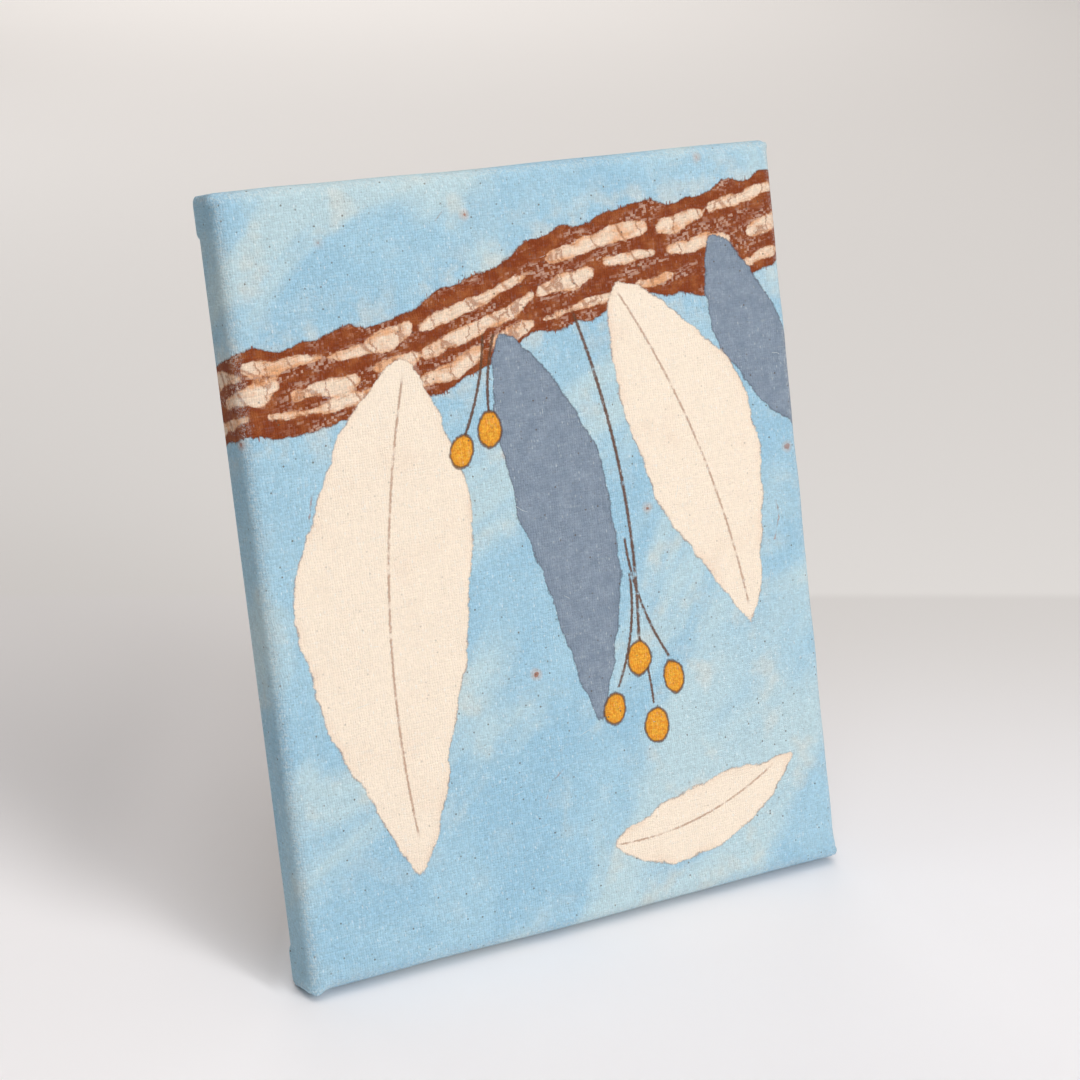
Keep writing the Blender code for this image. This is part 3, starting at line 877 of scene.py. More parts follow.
def lay_slate(tree, colour, leaf, mottle, broad):
    """Slate-blue leaves, deeper towards a drawn rim."""
    slate = blend(tree, ramp(tree, mottle, 0.28, 0.72, 0.24, 0.90), SLATE_DARK, SLATE)
    deep_rim = times(tree, ramp(tree, leaf, -3.2, -0.2), ramp(tree, broad, 0.35, 0.6))
    slate = blend(tree, times(tree, deep_rim, 0.45), slate, SLATE_DARK)
    colour = blend(tree, inside(tree, leaf), colour, slate)
    return blend(tree, times(tree, rim_of(tree, leaf, 0.48, 0.08), 0.60), colour, SLATE_RIM)


def lay_cream(tree, flat_mm, colour, leaf, mottle, bleed):
    """Undyed leaves with faint stains and a thin uneven brown outline."""
    stain = clouds(tree, flat_mm, 0.045, 4.0, 0.6)
    cream = blend(tree, ramp(tree, stain, 0.50, 0.78, 0.0, 0.24), CREAM, CREAM_STAIN)
    near_rim = times(tree, ramp(tree, leaf, -3.4, -0.1), ramp(tree, stain, 0.38, 0.62))
    cream = blend(tree, times(tree, near_rim, 0.34), cream, CREAM_STAIN)
    colour = blend(tree, inside(tree, leaf), colour, cream)
    pressure = times(tree, ramp(tree, mottle, 0.38, 0.62, 0.30, 1.0),
                     ramp(tree, bleed, 0.30, 0.60, 0.45, 1.0))
    rim = times(tree, rim_of(tree, leaf, 0.52, 0.08), pressure)
    return blend(tree, times(tree, rim, 0.62), colour, RIM_BROWN)


def oval_edge(tree, flat_mm, middle, half_wide, half_high, turn):
    """About how far each point lies from an oval's edge, in millimetres, negative inside."""
    moved = made(tree, "ShaderNodeMapping", {"vector_type": "TEXTURE"}, Vector=flat_mm,
                 Location=(middle[0] * TO_MM, middle[1] * TO_MM, 0.0), Rotation=(0.0, 0.0, turn),
                 Scale=(half_wide * TO_MM, half_high * TO_MM, 1.0))
    reach = vector_calc(tree, "LENGTH", vector_calc(tree, "MULTIPLY", moved, (1.0, 1.0, 0.0)))
    return times(tree, add(tree, reach, -1.0), half_wide * TO_MM)


def lay_gold(tree, flat_mm, colour, wobble, fine):
    """Golden berries with a drawn outline."""
    berries = [oval_edge(tree, flat_mm, *berry) for berry in GOLD_BERRIES]
    berry = add(tree, over_all(tree, "MINIMUM", berries), times(tree, wobble, 0.6))
    gold = blend(tree, ramp(tree, fine, 0.35, 0.65), GOLD_DEEP, GOLD)
    gold = blend(tree, times(tree, ramp(tree, berry, -2.4, -0.3), 0.40), gold, GOLD_DEEP)
    covered = inside(tree, berry)
    colour = blend(tree, covered, colour, gold)
    rim = rim_of(tree, berry, 0.60, 0.15)
    return blend(tree, times(tree, rim, 0.80), colour, OUTLINE), covered


def thread_tone(tree, flat_mm, colour, weave, bleed, soaked, undyed):
    """Crowns of threads are painted lighter and the gaps darker, painted light and shade on the
    weave; slubs and seed flecks in unbleached yarn.

    Pale yarn shows less where strong dye has soaked in, and dark marks less on undyed cloth."""
    dyed = minus(tree, 1.0, times(tree, undyed, 0.62))
    showing = minus(tree, 1.0, times(tree, soaked, 0.72))
    nap = clouds(tree, flat_mm, 1.25, 2.0, 0.7)
    # painted light and shade on the weave's crowns and gaps, mixed with the yarn's random
    # unevenness
    uneven = over_all(tree, "ADD", [ramp(tree, weave["height"], 0.15, 1.55, -0.034, 0.018),
                                    swing(tree, weave["chance"], 0.150),
                                    swing(tree, bleed, 0.14), swing(tree, nap, 0.40)])
    shade = add(tree, times(tree, uneven, dyed), 1.0)
    colour = blend(tree, 1.0, colour, joined(tree, shade, shade, shade), "MULTIPLY")
    streaks = add(tree, weave["warp"], weave["weft"])
    drawn_out = scaled(tree, flat_mm, (0.50, 0.22, 1.0))
    slubs = specks(tree, drawn_out, 1.0, 0, (0.16, 0.05), (0.60, 0.90))
    flecks = specks(tree, flat_mm, 0.42, 1, (0.16, 0.06), (0.70, 1.00))
    seeds = specks(tree, flat_mm, 0.20, 0, (0.085, 0.040), (0.62, 1.00))
    for mark, mark_colour in (
            (times(tree, showing, ramp(tree, streaks, 1.06, 1.42, 0.0, 0.24)), THREAD_PALE),
            (times(tree, dyed, ramp(tree, streaks, 0.94, 0.60, 0.0, 0.14)), THREAD_DARK),
            (times(tree, slubs, times(tree, showing, 0.36)), SLUB_PALE),
            (times(tree, flecks, times(tree, dyed, 0.36)), FLECK_DARK),
            (times(tree, seeds, times(tree, dyed, 0.80)), SEED_DARK)):
        colour = blend(tree, mark, colour, mark_colour)
    return colour


def worn_edges(tree, flat, colour, fine, bleed):
    """Dye rubbed thin where the cloth turns over the bars' edges."""
    near = calc(tree, "MINIMUM", *(
        calc(tree, "ABSOLUTE", minus(tree, calc(tree, "ABSOLUTE", way), half + FRONT_ROUND * 0.8))
        for way, half in zip(split(tree, flat), (FACE_X, FACE_Z))))
    rubbed = add(tree, times(tree, fine, 0.5), times(tree, bleed, 0.5))
    wear = times(tree, ramp(tree, near, 0.0034, 0.0), ramp(tree, rubbed, 0.46, 0.60, 0.0, 0.40))
    return blend(tree, wear, colour, RUBBED_PALE)


# ---------------------------------------------------------------- wood
def shaped_copy(node, name, ease, finish):
    """A piece for a frame node: its triangles merged, its edges eased, its material set."""
    build = bmesh.new()
    build.from_mesh(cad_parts[node].data)
    bmesh.ops.remove_doubles(build, verts=build.verts, dist=1e-6)
    bmesh.ops.dissolve_limit(build, angle_limit=radians(0.6), verts=build.verts,
                             edges=build.edges)
    mesh = bpy.data.meshes.new(name)
    build.to_mesh(mesh)
    build.free()
    mesh.shade_smooth()
    mesh.set_sharp_from_angle(angle=radians(40))
    mesh.materials.append(finish)
    piece = add_object(name, mesh)
    easing = piece.modifiers.new("eased_edges", "BEVEL")
    easing.limit_method = "ANGLE"
    easing.angle_limit = radians(25)
    easing.width = ease
    easing.segments = 2
    easing.harden_normals = True
    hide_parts(node)
    ready(piece)


def bare_wood(name, pale, dark, turn, ring_scale, roughness, shift=0.0):
    """Planed wood with its grain along the mapped x axis."""
    material, tree, shader = new_material(name, pale, Roughness=roughness, Specular_IOR_Level=0.35)
    grain = scaled(tree, own_place(tree), (1.0, 1.0, 1.0),
                   (shift, shift * 0.07, shift * 0.03), turn)
    # the log's middle lies beside the piece, so its rings cross the planed faces as long lines
    log = scaled(tree, grain, (0.05, 1.0, 1.0), (0.0, PITH_AWAY, PITH_AWAY * 0.6))
    rings = put(tree, "ShaderNodeTexWave", {"wave_type": "RINGS", "rings_direction": "X",
                                            "wave_profile": "SAW"},
                Vector=log, Scale=ring_scale, Distortion=2.6, Detail=2.0,
                Detail_Scale=0.35).outputs["Fac"]
    fibre = clouds(tree, scaled(tree, grain, (90.0, 2600.0, 2600.0)), 1.0, 2.0, 0.6)
    streak = clouds(tree, scaled(tree, grain, (14.0, 640.0, 640.0), (0.3, 0.7, 0.1)), 1.0, 3.0, 0.6)
    cloud = clouds(tree, scaled(tree, grain, (9.0, 80.0, 80.0)), 1.0, 3.0)
    late = times(tree, ramp(tree, rings, 0.35, 0.95), ramp(tree, cloud, 0.25, 0.75, 0.55, 1.0))
    deep = tuple(0.55 * part for part in dark[:3]) + (1.0,)
    bright = tuple(min(0.95, 1.12 * part) for part in pale[:3]) + (1.0,)
    colour = pale
    for mark, mark_colour in ((times(tree, late, 0.62), dark),
                              (ramp(tree, cloud, 0.42, 0.75, 0.0, 0.30), dark),
                              (ramp(tree, streak, 0.50, 0.72, 0.0, 0.34), dark),
                              (ramp(tree, streak, 0.46, 0.30, 0.0, 0.40), bright),
                              (ramp(tree, fibre, 0.58, 0.76, 0.0, 0.32), deep)):
        colour = blend(tree, mark, colour, mark_colour)
    feed(tree, shader.inputs["Base Color"], colour)
    marks = add(tree, times(tree, rings, 0.35), times(tree, fibre, 0.65))
    emboss(tree, shader, marks, 0.35, 0.00018)
    return material


PITH_AWAY = 0.055             # from a piece of wood to the middle of its log
PINE_RINGS = 96.0             # scale of the year rings in each wood
BEECH_RINGS = 170.0
BIRCH_RINGS = 70.0
ALONG_X = (LEAN, 0.0, 0.0)
ALONG_PANEL = (LEAN, pi / 2, 0.0)
PINE_PALE = (0.760, 0.560, 0.340, 1.0)
PINE_DARK = (0.560, 0.310, 0.125, 1.0)
BEECH_PALE = (0.660, 0.445, 0.270, 1.0)
BEECH_DARK = (0.430, 0.240, 0.120, 1.0)
BIRCH_PALE = (0.760, 0.605, 0.415, 1.0)
BIRCH_DARK = (0.560, 0.390, 0.220, 1.0)


def make_wood():
    bars = {"top": (ALONG_X, 0.31), "bottom": (ALONG_X, 0.87), "left": (ALONG_PANEL, 0.14),
            "right": (ALONG_PANEL, 0.59)}
    for edge, (turn, shift) in bars.items():
        pine = bare_wood("pine_" + edge, PINE_PALE, PINE_DARK, turn, PINE_RINGS, 0.62, shift)
        shaped_copy("bar_" + edge, "stretcher_bar_" + edge, 0.0004, pine)
    beech = {way: bare_wood("beech_" + way, BEECH_PALE, BEECH_DARK, turn, BEECH_RINGS, 0.55)
             for way, turn in (("level", ALONG_X), ("upright", ALONG_PANEL))}
    for node in sorted(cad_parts):
        if node.startswith("key_"):
            way = "level" if node.endswith("level") else "upright"
            shaped_copy(node, "corner_" + node, 0.0002, beech[way])
    birch = bare_wood("oiled_birch", BIRCH_PALE, BIRCH_DARK, (0.0, 0.0, 0.0), BIRCH_RINGS, 0.46)
    for node in ("stand_board", "stand_cleat"):
        shaped_copy(node, node + "_wood", 0.0005, birch)


# ---------------------------------------------------------------- steel
def zinc():
    """Zinc plate, a little cloudy and finely scuffed."""
    material, tree, shader = new_material("zinc_plate", (0.6, 0.6, 0.6, 1.0), Metallic=1.0)
    place = own_place(tree)
    bloom = clouds(tree, place, 900.0, 3.0, 0.6)
    scuffs = clouds(tree, scaled(tree, place, (400.0, 3000.0, 900.0)), 1.0, 2.0)
    feed(tree, shader.inputs["Base Color"],
         blend(tree, ramp(tree, bloom, 0.35, 0.7), ZINC_BRIGHT, ZINC_DULL))
    feed(tree, shader.inputs["Roughness"], ramp(tree, scuffs, 0.3, 0.7, 0.24, 0.46))
    return material


def make_screws(steel):
    for side in ("left", "right"):
        shaped_copy("stand_screw_" + side, "round_head_screw_" + side, 0.0002, steel)


# ---------------------------------------------------------------- geometry nodes
def node_tree(name, inputs):
    """A Geometry Nodes tree with named inputs: (name, socket type, value)."""
    tree = bpy.data.node_groups.new(name, "GeometryNodeTree")
    tree.interface.new_socket("Geometry", in_out="INPUT", socket_type="NodeSocketGeometry")
    for label, kind, value in inputs:
        socket = tree.interface.new_socket(label, in_out="INPUT", socket_type="NodeSocket" + kind)
        socket.default_value = value
    tree.interface.new_socket("Geometry", in_out="OUTPUT", socket_type="NodeSocketGeometry")
    return tree, tree.nodes.new("NodeGroupInput").outputs


def close_tree(tree, instances, material):
    """Realize the instances, give them their material and end the tree."""
    real = made(tree, "GeometryNodeRealizeInstances", Geometry=instances)
    finish = made(tree, "GeometryNodeSetMaterial", Geometry=real, Material=material)
    put(tree, "NodeGroupOutput", Geometry=finish)
    return tree


def grown(name, host, tree, finish, values):
    """Run a tree on a host mesh, keep the result as a plain mesh piece, and clear the host."""
    modifier = host.modifiers.new(tree.name, "NODES")
    modifier.node_group = tree
    for item in tree.interface.items_tree:
        if item.in_out == "INPUT" and item.name in values:
            modifier[item.identifier] = values[item.name]
    bpy.context.view_layer.update()
    seen = host.evaluated_get(bpy.context.evaluated_depsgraph_get())
    mesh = bpy.data.meshes.new_from_object(seen)
    mesh.name = name
    mesh.materials.clear()
    mesh.materials.append(finish)
    host.modifiers.remove(modifier)
    bpy.data.objects.remove(host)
    return ready(add_object(name, mesh))


def points_object(name, places, turns):
    """A bare host of points, each with the turn that a piece set on it takes."""
    mesh = new_mesh(name, [tuple(place) for place in places], [])
    layer = mesh.attributes.new("turn", "FLOAT_VECTOR", "POINT")
    layer.data.foreach_set("vector", np.array(turns, np.float32).ravel())
    return add_object(name, mesh)


def random_value(tree, kind, low, high, seed):
    """A random number, or vector, for each point or instance."""
    node = put(tree, "FunctionNodeRandomValue", {"data_type": kind}, Seed=seed)
    ends = [socket for socket in node.inputs if socket.name in ("Min", "Max") and socket.enabled]
    for socket, value in zip(ends, (low, high)):
        feed(tree, socket, value)
    return next(socket for socket in node.outputs if socket.enabled)


def set_on(tree, points, piece, swing_low, swing_high, seed, rotation=None, size=None):
    """Set a piece on each point, by its own turn and a random swing."""
    if rotation is None:
        rotation = made(tree, "GeometryNodeInputNamedAttribute", {"data_type": "FLOAT_VECTOR"},
                        Name="turn")
    sizes = {} if size is None else {"Scale": size}
    placed = made(tree, "GeometryNodeInstanceOnPoints", Points=points, Instance=piece,
                  Rotation=rotation, **sizes)
    skew = random_value(tree, "FLOAT_VECTOR", swing_low, swing_high, seed)
    return made(tree, "GeometryNodeRotateInstances", Instances=placed, Rotation=skew)


def staple_tree(steel):
    """A bent wire staple on each point."""
    tree, given = node_tree("staples", (("Crown", "Float", 0.0100), ("Leg", "Float", 0.0040),
                                        ("Wire Broad", "Float", 0.0011),
                                        ("Wire Thin", "Float", 0.0005),
                                        ("Bend", "Float", 0.0007), ("Seed", "Int", 4)))
    outline = made(tree, "GeometryNodeCurvePrimitiveQuadrilateral", Width=given["Leg"],
                   Height=given["Crown"])
    seated = made(tree, "GeometryNodeTransform", Geometry=outline,
                  Translation=joined(tree, times(tree, given["Leg"], 0.5), 0.0))
    opened = made(tree, "GeometryNodeSetSplineCyclic", Geometry=seated, Cyclic=False)
    bent = made(tree, "GeometryNodeFilletCurve", {"mode": "POLY"}, Curve=opened,
                Radius=given["Bend"], Count=3)
    level = made(tree, "GeometryNodeSetCurveNormal", {"mode": "Z_UP"}, Curve=bent)
    wire = made(tree, "GeometryNodeCurvePrimitiveQuadrilateral", Width=given["Wire Thin"],
                Height=given["Wire Broad"])
    staple = made(tree, "GeometryNodeCurveToMesh", Curve=level, Profile_Curve=wire, Fill_Caps=True)
    turned = set_on(tree, given["Geometry"], staple, (0.0, 0.0, -0.14), (0.0, 0.05, 0.14),
                    given["Seed"])
    return close_tree(tree, turned, steel)


def staple_places():
    """Where the staples sit on the back margins, and how each is turned."""
    random = np.random.default_rng(12)
    places = []
    turns = []
    for edge, middles in (("top", (-0.058, 0.004, 0.061)), ("bottom", (-0.063, -0.002, 0.055)),
                          ("left", (-0.081, -0.026, 0.030, 0.079)),
                          ("right", (-0.078, -0.029, 0.024, 0.083))):
        for middle in middles:
            inward = MARGIN / 2 + random.uniform(-0.0022, 0.0022)
            along = middle + random.uniform(-0.003, 0.003)
            slant = random.uniform(-0.22, 0.22)
            places.append(margin_point(edge, along, inward, STAPLE_PROUD))
            turns.append(staple_turn(edge, slant))
    # one more through each corner's plies
    for hand in (-1, 1):
        for level in (-1, 1):
            edge = "left" if hand < 0 else "right"
            along = level * (HIGH / 2 - CORNER_STAPLE_IN + random.uniform(-0.001, 0.001))
            slant = hand * level * radians(-43) + random.uniform(-0.12, 0.12)
            places.append(margin_point(edge, along, CORNER_STAPLE_IN, STAPLE_PROUD + PLY_RISE))
            turns.append(staple_turn(edge, slant))
    return places, turns


def facing(first, second):
    """The turn that brings a piece's x and y axes onto two ways in the panel."""
    panel = Matrix((first, second, first.cross(second))).transposed()
    return tuple((TO_WORLD.to_3x3() @ panel).to_euler())


def margin_point(edge, along, inward, proud):
    """A point on the leaning panel's back, that far in from an edge and standing that proud."""
    if edge in ("top", "bottom"):
        z = HIGH - inward if edge == "top" else inward
        return TO_WORLD @ Vector((along, proud, z))
    x = WIDE / 2 - inward if edge == "right" else inward - WIDE / 2
    return TO_WORLD @ Vector((x, proud, HIGH / 2 + along))


def staple_turn(edge, slant):
    """Turn for a staple: its legs (x) go into the bar, its crown (y) runs along the edge."""
    legs = Vector((0.0, -1.0, 0.0))
    crown = Vector((1.0, 0.0, 0.0)) if edge in ("top", "bottom") else Vector((0.0, 0.0, 1.0))
    crown.rotate(Matrix.Rotation(slant, 3, legs))
    return facing(legs, crown)


def make_staples(steel):
    host = points_object("staple_places", *staple_places())
    return grown("staples", host, staple_tree(steel), steel, {"Crown": 0.0102})


def thread_tree(yarn):
    """A short curling thread on each point, no two alike."""
    tree, given = node_tree("frayed_threads", (("Length", "Float", 0.0030),
                                               ("Thick", "Float", 0.00013),
                                               ("Curl", "Float", 0.0016),
                                               ("Curl Scale", "Float", 260.0),
                                               ("Swing", "Vector", (0.5, 0.3, 0.7)),
                                               ("Seed", "Int", 3)))
    line = made(tree, "GeometryNodeCurvePrimitiveLine", {"mode": "DIRECTION"},
                Length=given["Length"], Direction=(1.0, 0.0, 0.0))
    fine = made(tree, "GeometryNodeResampleCurve", Curve=line, Count=7)
    back = vector_calc(tree, "SCALE", given["Swing"], Scale=-1.0)
    turned = set_on(tree, given["Geometry"], fine, back, given["Swing"],
                    add(tree, given["Seed"], 5),
                    size=random_value(tree, "FLOAT", 0.35, 1.5, given["Seed"]))
    curves = made(tree, "GeometryNodeRealizeInstances", Geometry=turned)
    # each thread drifts sideways, more and more towards its end
    drift = put(tree, "ShaderNodeTexNoise", Vector=made(tree, "GeometryNodeInputPosition"),
                Scale=given["Curl Scale"], Detail=1.0).outputs["Color"]
    centred = vector_calc(tree, "SUBTRACT", drift, (0.5, 0.5, 0.5))
    growing = times(tree, made(tree, "GeometryNodeSplineParameter"), given["Curl"])
    offset = vector_calc(tree, "SCALE", centred, Scale=times(tree, growing, 2.2))
    curled = made(tree, "GeometryNodeSetPosition", Geometry=curves, Offset=offset)
    ring = made(tree, "GeometryNodeCurvePrimitiveCircle", Radius=given["Thick"], Resolution=5)
    solid = made(tree, "GeometryNodeCurveToMesh", Curve=curled, Profile_Curve=ring, Fill_Caps=True)
    return close_tree(tree, solid, yarn)


def fray_places():
    """Points along the sheet's cut edge, and the turn that sends a thread inwards from each."""
    random = np.random.default_rng(21)
    places = []
    turns = []
    for edge, inward in (("top", (0, 0, -1)), ("bottom", (0, 0, 1)), ("left", (1, 0, 0)),
                         ("right", (-1, 0, 0))):
        reach = (WIDE if edge in ("top", "bottom") else HIGH) / 2 - MARGIN - 0.003
        for along in np.arange(-reach, reach, FRAY_APART):
            along += random.uniform(-0.0010, 0.0010)
            if random.random() < 0.22:
                continue
            places.append(margin_point(edge, along, MARGIN - FRAY_IN, -CLOTH / 2))
            turns.append(facing(Vector(inward), Vector((0.0, 1.0, 0.0))))
    return places, turns


def make_fray(yarn):
    host = points_object("fray_places", *fray_places())
    return grown("frayed_threads", host, thread_tree(yarn), yarn, {})


def nep_tree(yarn):
    """Little knots of fibre scattered over the face, flattened against it."""
    tree, given = node_tree("neps", (("Density", "Float", 4200.0), ("Least", "Float", 0.00016),
                                     ("Most", "Float", 0.00042), ("Seed", "Int", 8)))
    scatter = put(tree, "GeometryNodeDistributePointsOnFaces", Mesh=given["Geometry"],
                  Density=given["Density"], Seed=given["Seed"]).outputs
    knot = made(tree, "GeometryNodeMeshIcoSphere", Radius=1.0, Subdivisions=2)
    flat = made(tree, "GeometryNodeTransform", Geometry=knot, Scale=(1.0, 0.62, 0.42))
    # most knots are small: the chance is cubed
    cubed = calc(tree, "POWER", random_value(tree, "FLOAT", 0.0, 1.0, given["Seed"]), 3.0)
    span = minus(tree, given["Most"], given["Least"])
    radius = calc(tree, "MULTIPLY_ADD", cubed, span, given["Least"])
    turned = set_on(tree, scatter["Points"], flat, (0.0, 0.0, 0.0), (0.0, 0.0, 6.28),
                    add(tree, given["Seed"], 3), scatter["Rotation"], radius)
    return close_tree(tree, turned, yarn)


def face_patch(keep):
    """The parts of the front face that a test of its dyes keeps, as a host for what lies there."""
    columns = graded(FACE_X)[::2]
    rows = graded(FACE_Z)[::2]
    points = face_points(columns, rows)
    quads = grid_quads(face_numbers(columns, rows))
    middles = points[quads].mean(1)
    kept = keep(design_distances(middles[:, (0, 2)] - np.array((0.0, HIGH / 2))))
    mesh = new_mesh("face_patch", leaned(points).tolist(), quads[kept].tolist())
    return add_object("face_patch", mesh)


def on_cream(dyes):
    return dyes["dye_leaf"] < -NEP_CLEAR


def on_sky(dyes):
    return nearest_of((dyes["dye_leaf"], dyes["dye_slate"], dyes["dye_bough"])) > NEP_CLEAR


def make_neps(name, ground, yarn, density):
    piece = grown(name, face_patch(ground), nep_tree(yarn), yarn,
                  {"Density": density})
    piece.data.shade_smooth()
    return piece


def make_lint(yarn):
    """Single fibres caught on the face of the cloth."""
    random = np.random.default_rng(33)
    places = []
    turns = []
    for _ in range(LINT_COUNT):
        x = random.uniform(-FACE_X, FACE_X)
        z = random.uniform(-FACE_Z, FACE_Z) + HIGH / 2
        y = -DEEP + float(face_sag(np.array(x), np.array(z))) - LINT_PROUD
        spin = random.uniform(0, 2 * pi)
        places.append(TO_WORLD @ Vector((x, y, z)))
        turns.append(facing(Vector((cos(spin), 0.0, sin(spin))), Vector((0.0, -1.0, 0.0))))
    host = points_object("lint_places", places, turns)
    wanted = {"Length": 0.0034, "Thick": 0.00005, "Curl": 0.0009, "Curl Scale": 420.0,
              "Swing": (0.3, 0.02, 0.0)}
    return grown("caught_lint", host, thread_tree(yarn), yarn, wanted)


def loose_yarn(name, colour, deep):
    """Cotton fibre, undyed or dyed, a little uneven along its length."""
    material, tree, shader = new_material(name, colour, Roughness=0.95, Specular_IOR_Level=0.2,
                                          Sheen_Weight=0.3)
    uneven = ramp(tree, clouds(tree, own_place(tree), 700.0, 3.0, 0.6), 0.35, 0.7)
    feed(tree, shader.inputs["Base Color"], blend(tree, uneven, colour, deep))
    return material


# ---------------------------------------------------------------- stage
HEADING = radians(28.53)      # the camera looks this far round from straight on
PITCH = radians(19.24)
SEAM = 0.279                  # where the floor paper changes tone, along the camera's heading
FLOOR_HALF = 6.0
SENSOR = 36.0                 # the camera's sensor width and lens, in millimetres
LENS = 78.67
DOME_MIDDLE = Vector((0.0, 0.0, 0.10))
COOL_LIGHT = (0.965, 0.985, 1.0)


def painted_left_shadow(tree, beside, ahead):
    """A painted shadow on the floor to the left, behind a slanting line from the picture's lower
    corner.

    The line grows softer with the distance from the corner, most of all on its lit side."""
    past_line = add(tree, ahead, add(tree, times(tree, beside, 1.08), 0.170))
    softness = calc(tree, "MAXIMUM", add(tree, times(tree, beside, -0.36), -0.028), 0.003)
    fading = ramp(tree, beside, -0.12, -0.16, -1.0, -1.9)
    edge = ramp(tree, calc(tree, "DIVIDE", past_line, softness), fading, 1.0)
    depth = add(tree, ramp(tree, beside, -0.03, -0.08, 0.0, 0.13),
                ramp(tree, beside, -0.125, -0.17, 0.0, 0.09))
    shade = times(tree, times(tree, edge, ramp(tree, beside, -0.074, -0.082)),
                  ramp(tree, ahead, 0.28, 0.05))
    return times(tree, shade, depth)


def make_floor():
    """One large pale floor, which changes tone at a line behind the object; painted light and shade
    in its colour make it lighter on the left and darker towards that line and in front, with a
    painted shadow to the left.
    """
    corners = [(-FLOOR_HALF, -FLOOR_HALF, 0), (FLOOR_HALF, -FLOOR_HALF, 0),
               (FLOOR_HALF, FLOOR_HALF, 0), (-FLOOR_HALF, FLOOR_HALF, 0)]
    mesh = new_mesh("studio_floor", corners, [(0, 1, 2, 3)])
    material, tree, shader = new_material("floor_paper", (0.8, 0.8, 0.8, 1.0), Roughness=0.9,
                                          Specular_IOR_Level=0.15)
    beside, ahead, _ = split(tree, turned_flat(tree, own_place(tree), HEADING))
    past_sides = minus(tree, calc(tree, "ABSOLUTE", beside),
                       add(tree, times(tree, ahead, 0.25), 0.60))
    # painted shade: the paper darkens towards the seam, more on the right
    painted_shade_to_seam = times(tree, ramp(tree, ahead, -0.02, SEAM),
                    ramp(tree, beside, -0.12, 0.10, 0.60, 1.0))
    wall = blend(tree, ramp(tree, ahead, SEAM, 1.5), PAPER_PAST_SEAM, PAPER_FAR)
    # painted light: lighter paper on the left, against the lamps' shade there
    tone = blend(tree, ramp(tree, beside, -0.15, 0.15), PAPER_LEFT_PAINTED_LIGHTER, PAPER_RIGHT)
    # over the tone: painted shade towards the seam, a painted shadow to the left, the backdrop past
    # the seam, the sides, and painted shade in front
    for share, laid in ((painted_shade_to_seam, PAPER_PAINTED_SHADE_BY_SEAM), (painted_left_shadow(tree, beside, ahead), BLACK),
                        (ramp(tree, ahead, SEAM - 0.006, SEAM + 0.006), wall),
                        (ramp(tree, past_sides, -0.32, 0.15), PAPER_ASIDE),
                        # painted shade: the floor in front is darkened against the lamps' bright
                        # pool there
                        (ramp(tree, ahead, -0.20, -1.10, 0.0, 0.62), BLACK)):
        tone = blend(tree, share, tone, laid)
    feed(tree, shader.inputs["Base Color"], tone)
    # far off, where the lamps don't reach, the paper gives light of its own
    past_front = minus(tree, -1.2, ahead)
    past_back = add(tree, ahead, -2.9)
    outside = over_all(tree, "MAXIMUM", [past_sides, past_front, past_back])
    shader.inputs["Emission Color"].default_value = (0.86, 0.84, 0.82, 1.0)
    feed(tree, shader.inputs["Emission Strength"], ramp(tree, outside, 0.0, 2.2, 0.0, 0.66))
    mesh.materials.append(material)
    add_object("studio_floor", mesh)


def area_light(name, place, aim, size, watts, colour):
    """A soft round lamp, aimed at a point."""
    data = bpy.data.lights.new(name, "AREA")
    data.shape = "DISK"
    data.size = size
    data.energy = watts
    data.color = colour
    lamp = add_object(name, data)
    lamp.location = place
    lamp.rotation_euler = (Vector(place) - Vector(aim)).to_track_quat("Z", "Y").to_euler()


def on_dome(around, up, distance):
    """A place on a dome about the object: angle to the right of the front, angle up."""
    around = radians(around)
    up = radians(up)
    way = Vector((sin(around) * cos(up), -cos(around) * cos(up), sin(up)))
    return DOME_MIDDLE + way * distance


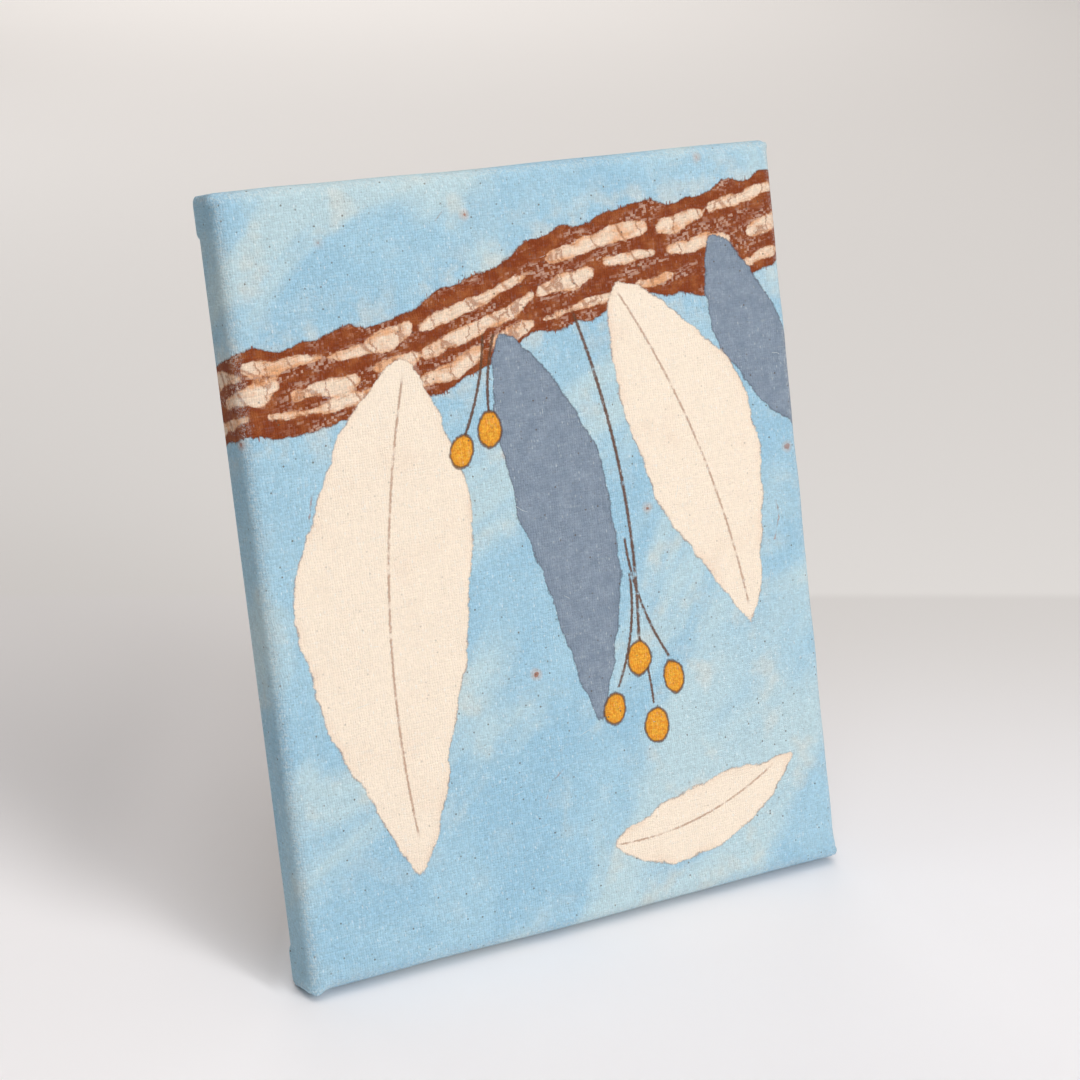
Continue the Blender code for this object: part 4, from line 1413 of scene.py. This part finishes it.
def make_light():
    """Lamps in front, overhead, far behind and behind to the left, and a faint warm air."""
    area_light("front_lamp", on_dome(16, 22, 2.0), DOME_MIDDLE, 1.0, 18.4, COOL_LIGHT)
    area_light("high_lamp", on_dome(-10, 55, 2.0), DOME_MIDDLE, 2.0, 15.4, COOL_LIGHT)
    area_light("top_lamp", (0.2, 0.2, 2.4), (0.2, 0.2, 0.0), 2.4, 20.6, (1.0, 0.950, 0.91))
    area_light("far_lamp", (1.1, 2.9, 1.7), (1.3, 2.6, 0.0), 2.0, 28.3, (1.0, 0.972, 0.948))
    area_light("rim_lamp", on_dome(-163, 14, 2.0), DOME_MIDDLE, 0.8, 3.4, COOL_LIGHT)
    world = bpy.data.worlds.new("studio_air")
    bpy.context.scene.world = world
    world.use_nodes = True
    tree = world.node_tree
    air = tree.nodes["Background"]
    air.inputs["Color"].default_value = (1.0, 0.96, 0.92, 1.0)
    # the backdrop looks brighter than the light that it gives
    sight = put(tree, "ShaderNodeLightPath").outputs["Is Camera Ray"]
    feed(tree, air.inputs["Strength"], ramp(tree, sight, 0.0, 1.0, 0.12, 0.58))


def make_camera():
    data = bpy.data.cameras.new("studio_camera")
    data.sensor_width = SENSOR
    data.lens = LENS
    data.clip_start = 0.05
    camera = add_object("studio_camera", data)
    camera.location = (-0.3560, -0.6340 + HINGE.y, 0.3902 + HINGE.z)
    camera.rotation_euler = (pi / 2 - PITCH, 0.0, -HEADING)
    bpy.context.scene.camera = camera


# ---------------------------------------------------------------- put together
bpy.context.scene.view_settings.view_transform = "Standard"
make_camera()
make_light()
make_floor()

cloth = make_cloth()
cloth.data.materials.append(dyed_cotton())
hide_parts("canvas_cloth")
ready(cloth)
steel = zinc()
make_wood()
make_screws(steel)
staples = make_staples(steel)
fray = make_fray(loose_yarn("cut_yarn", (0.62, 0.70, 0.70, 1.0), (0.42, 0.55, 0.60, 1.0)))
sky_fibre = loose_yarn("sky_nep_fibre", (0.62, 0.74, 0.80, 1.0), (0.50, 0.65, 0.74, 1.0))
sky_neps = make_neps("sky_neps", on_sky, sky_fibre, 5200.0)
cream_fibre = loose_yarn("cream_nep_fibre", (0.92, 0.80, 0.66, 1.0), (0.80, 0.66, 0.50, 1.0))
cream_neps = make_neps("cream_neps", on_cream, cream_fibre, 4200.0)
lint = make_lint(loose_yarn("lint_fibre", (0.86, 0.88, 0.88, 1.0), (0.75, 0.80, 0.82, 1.0)))
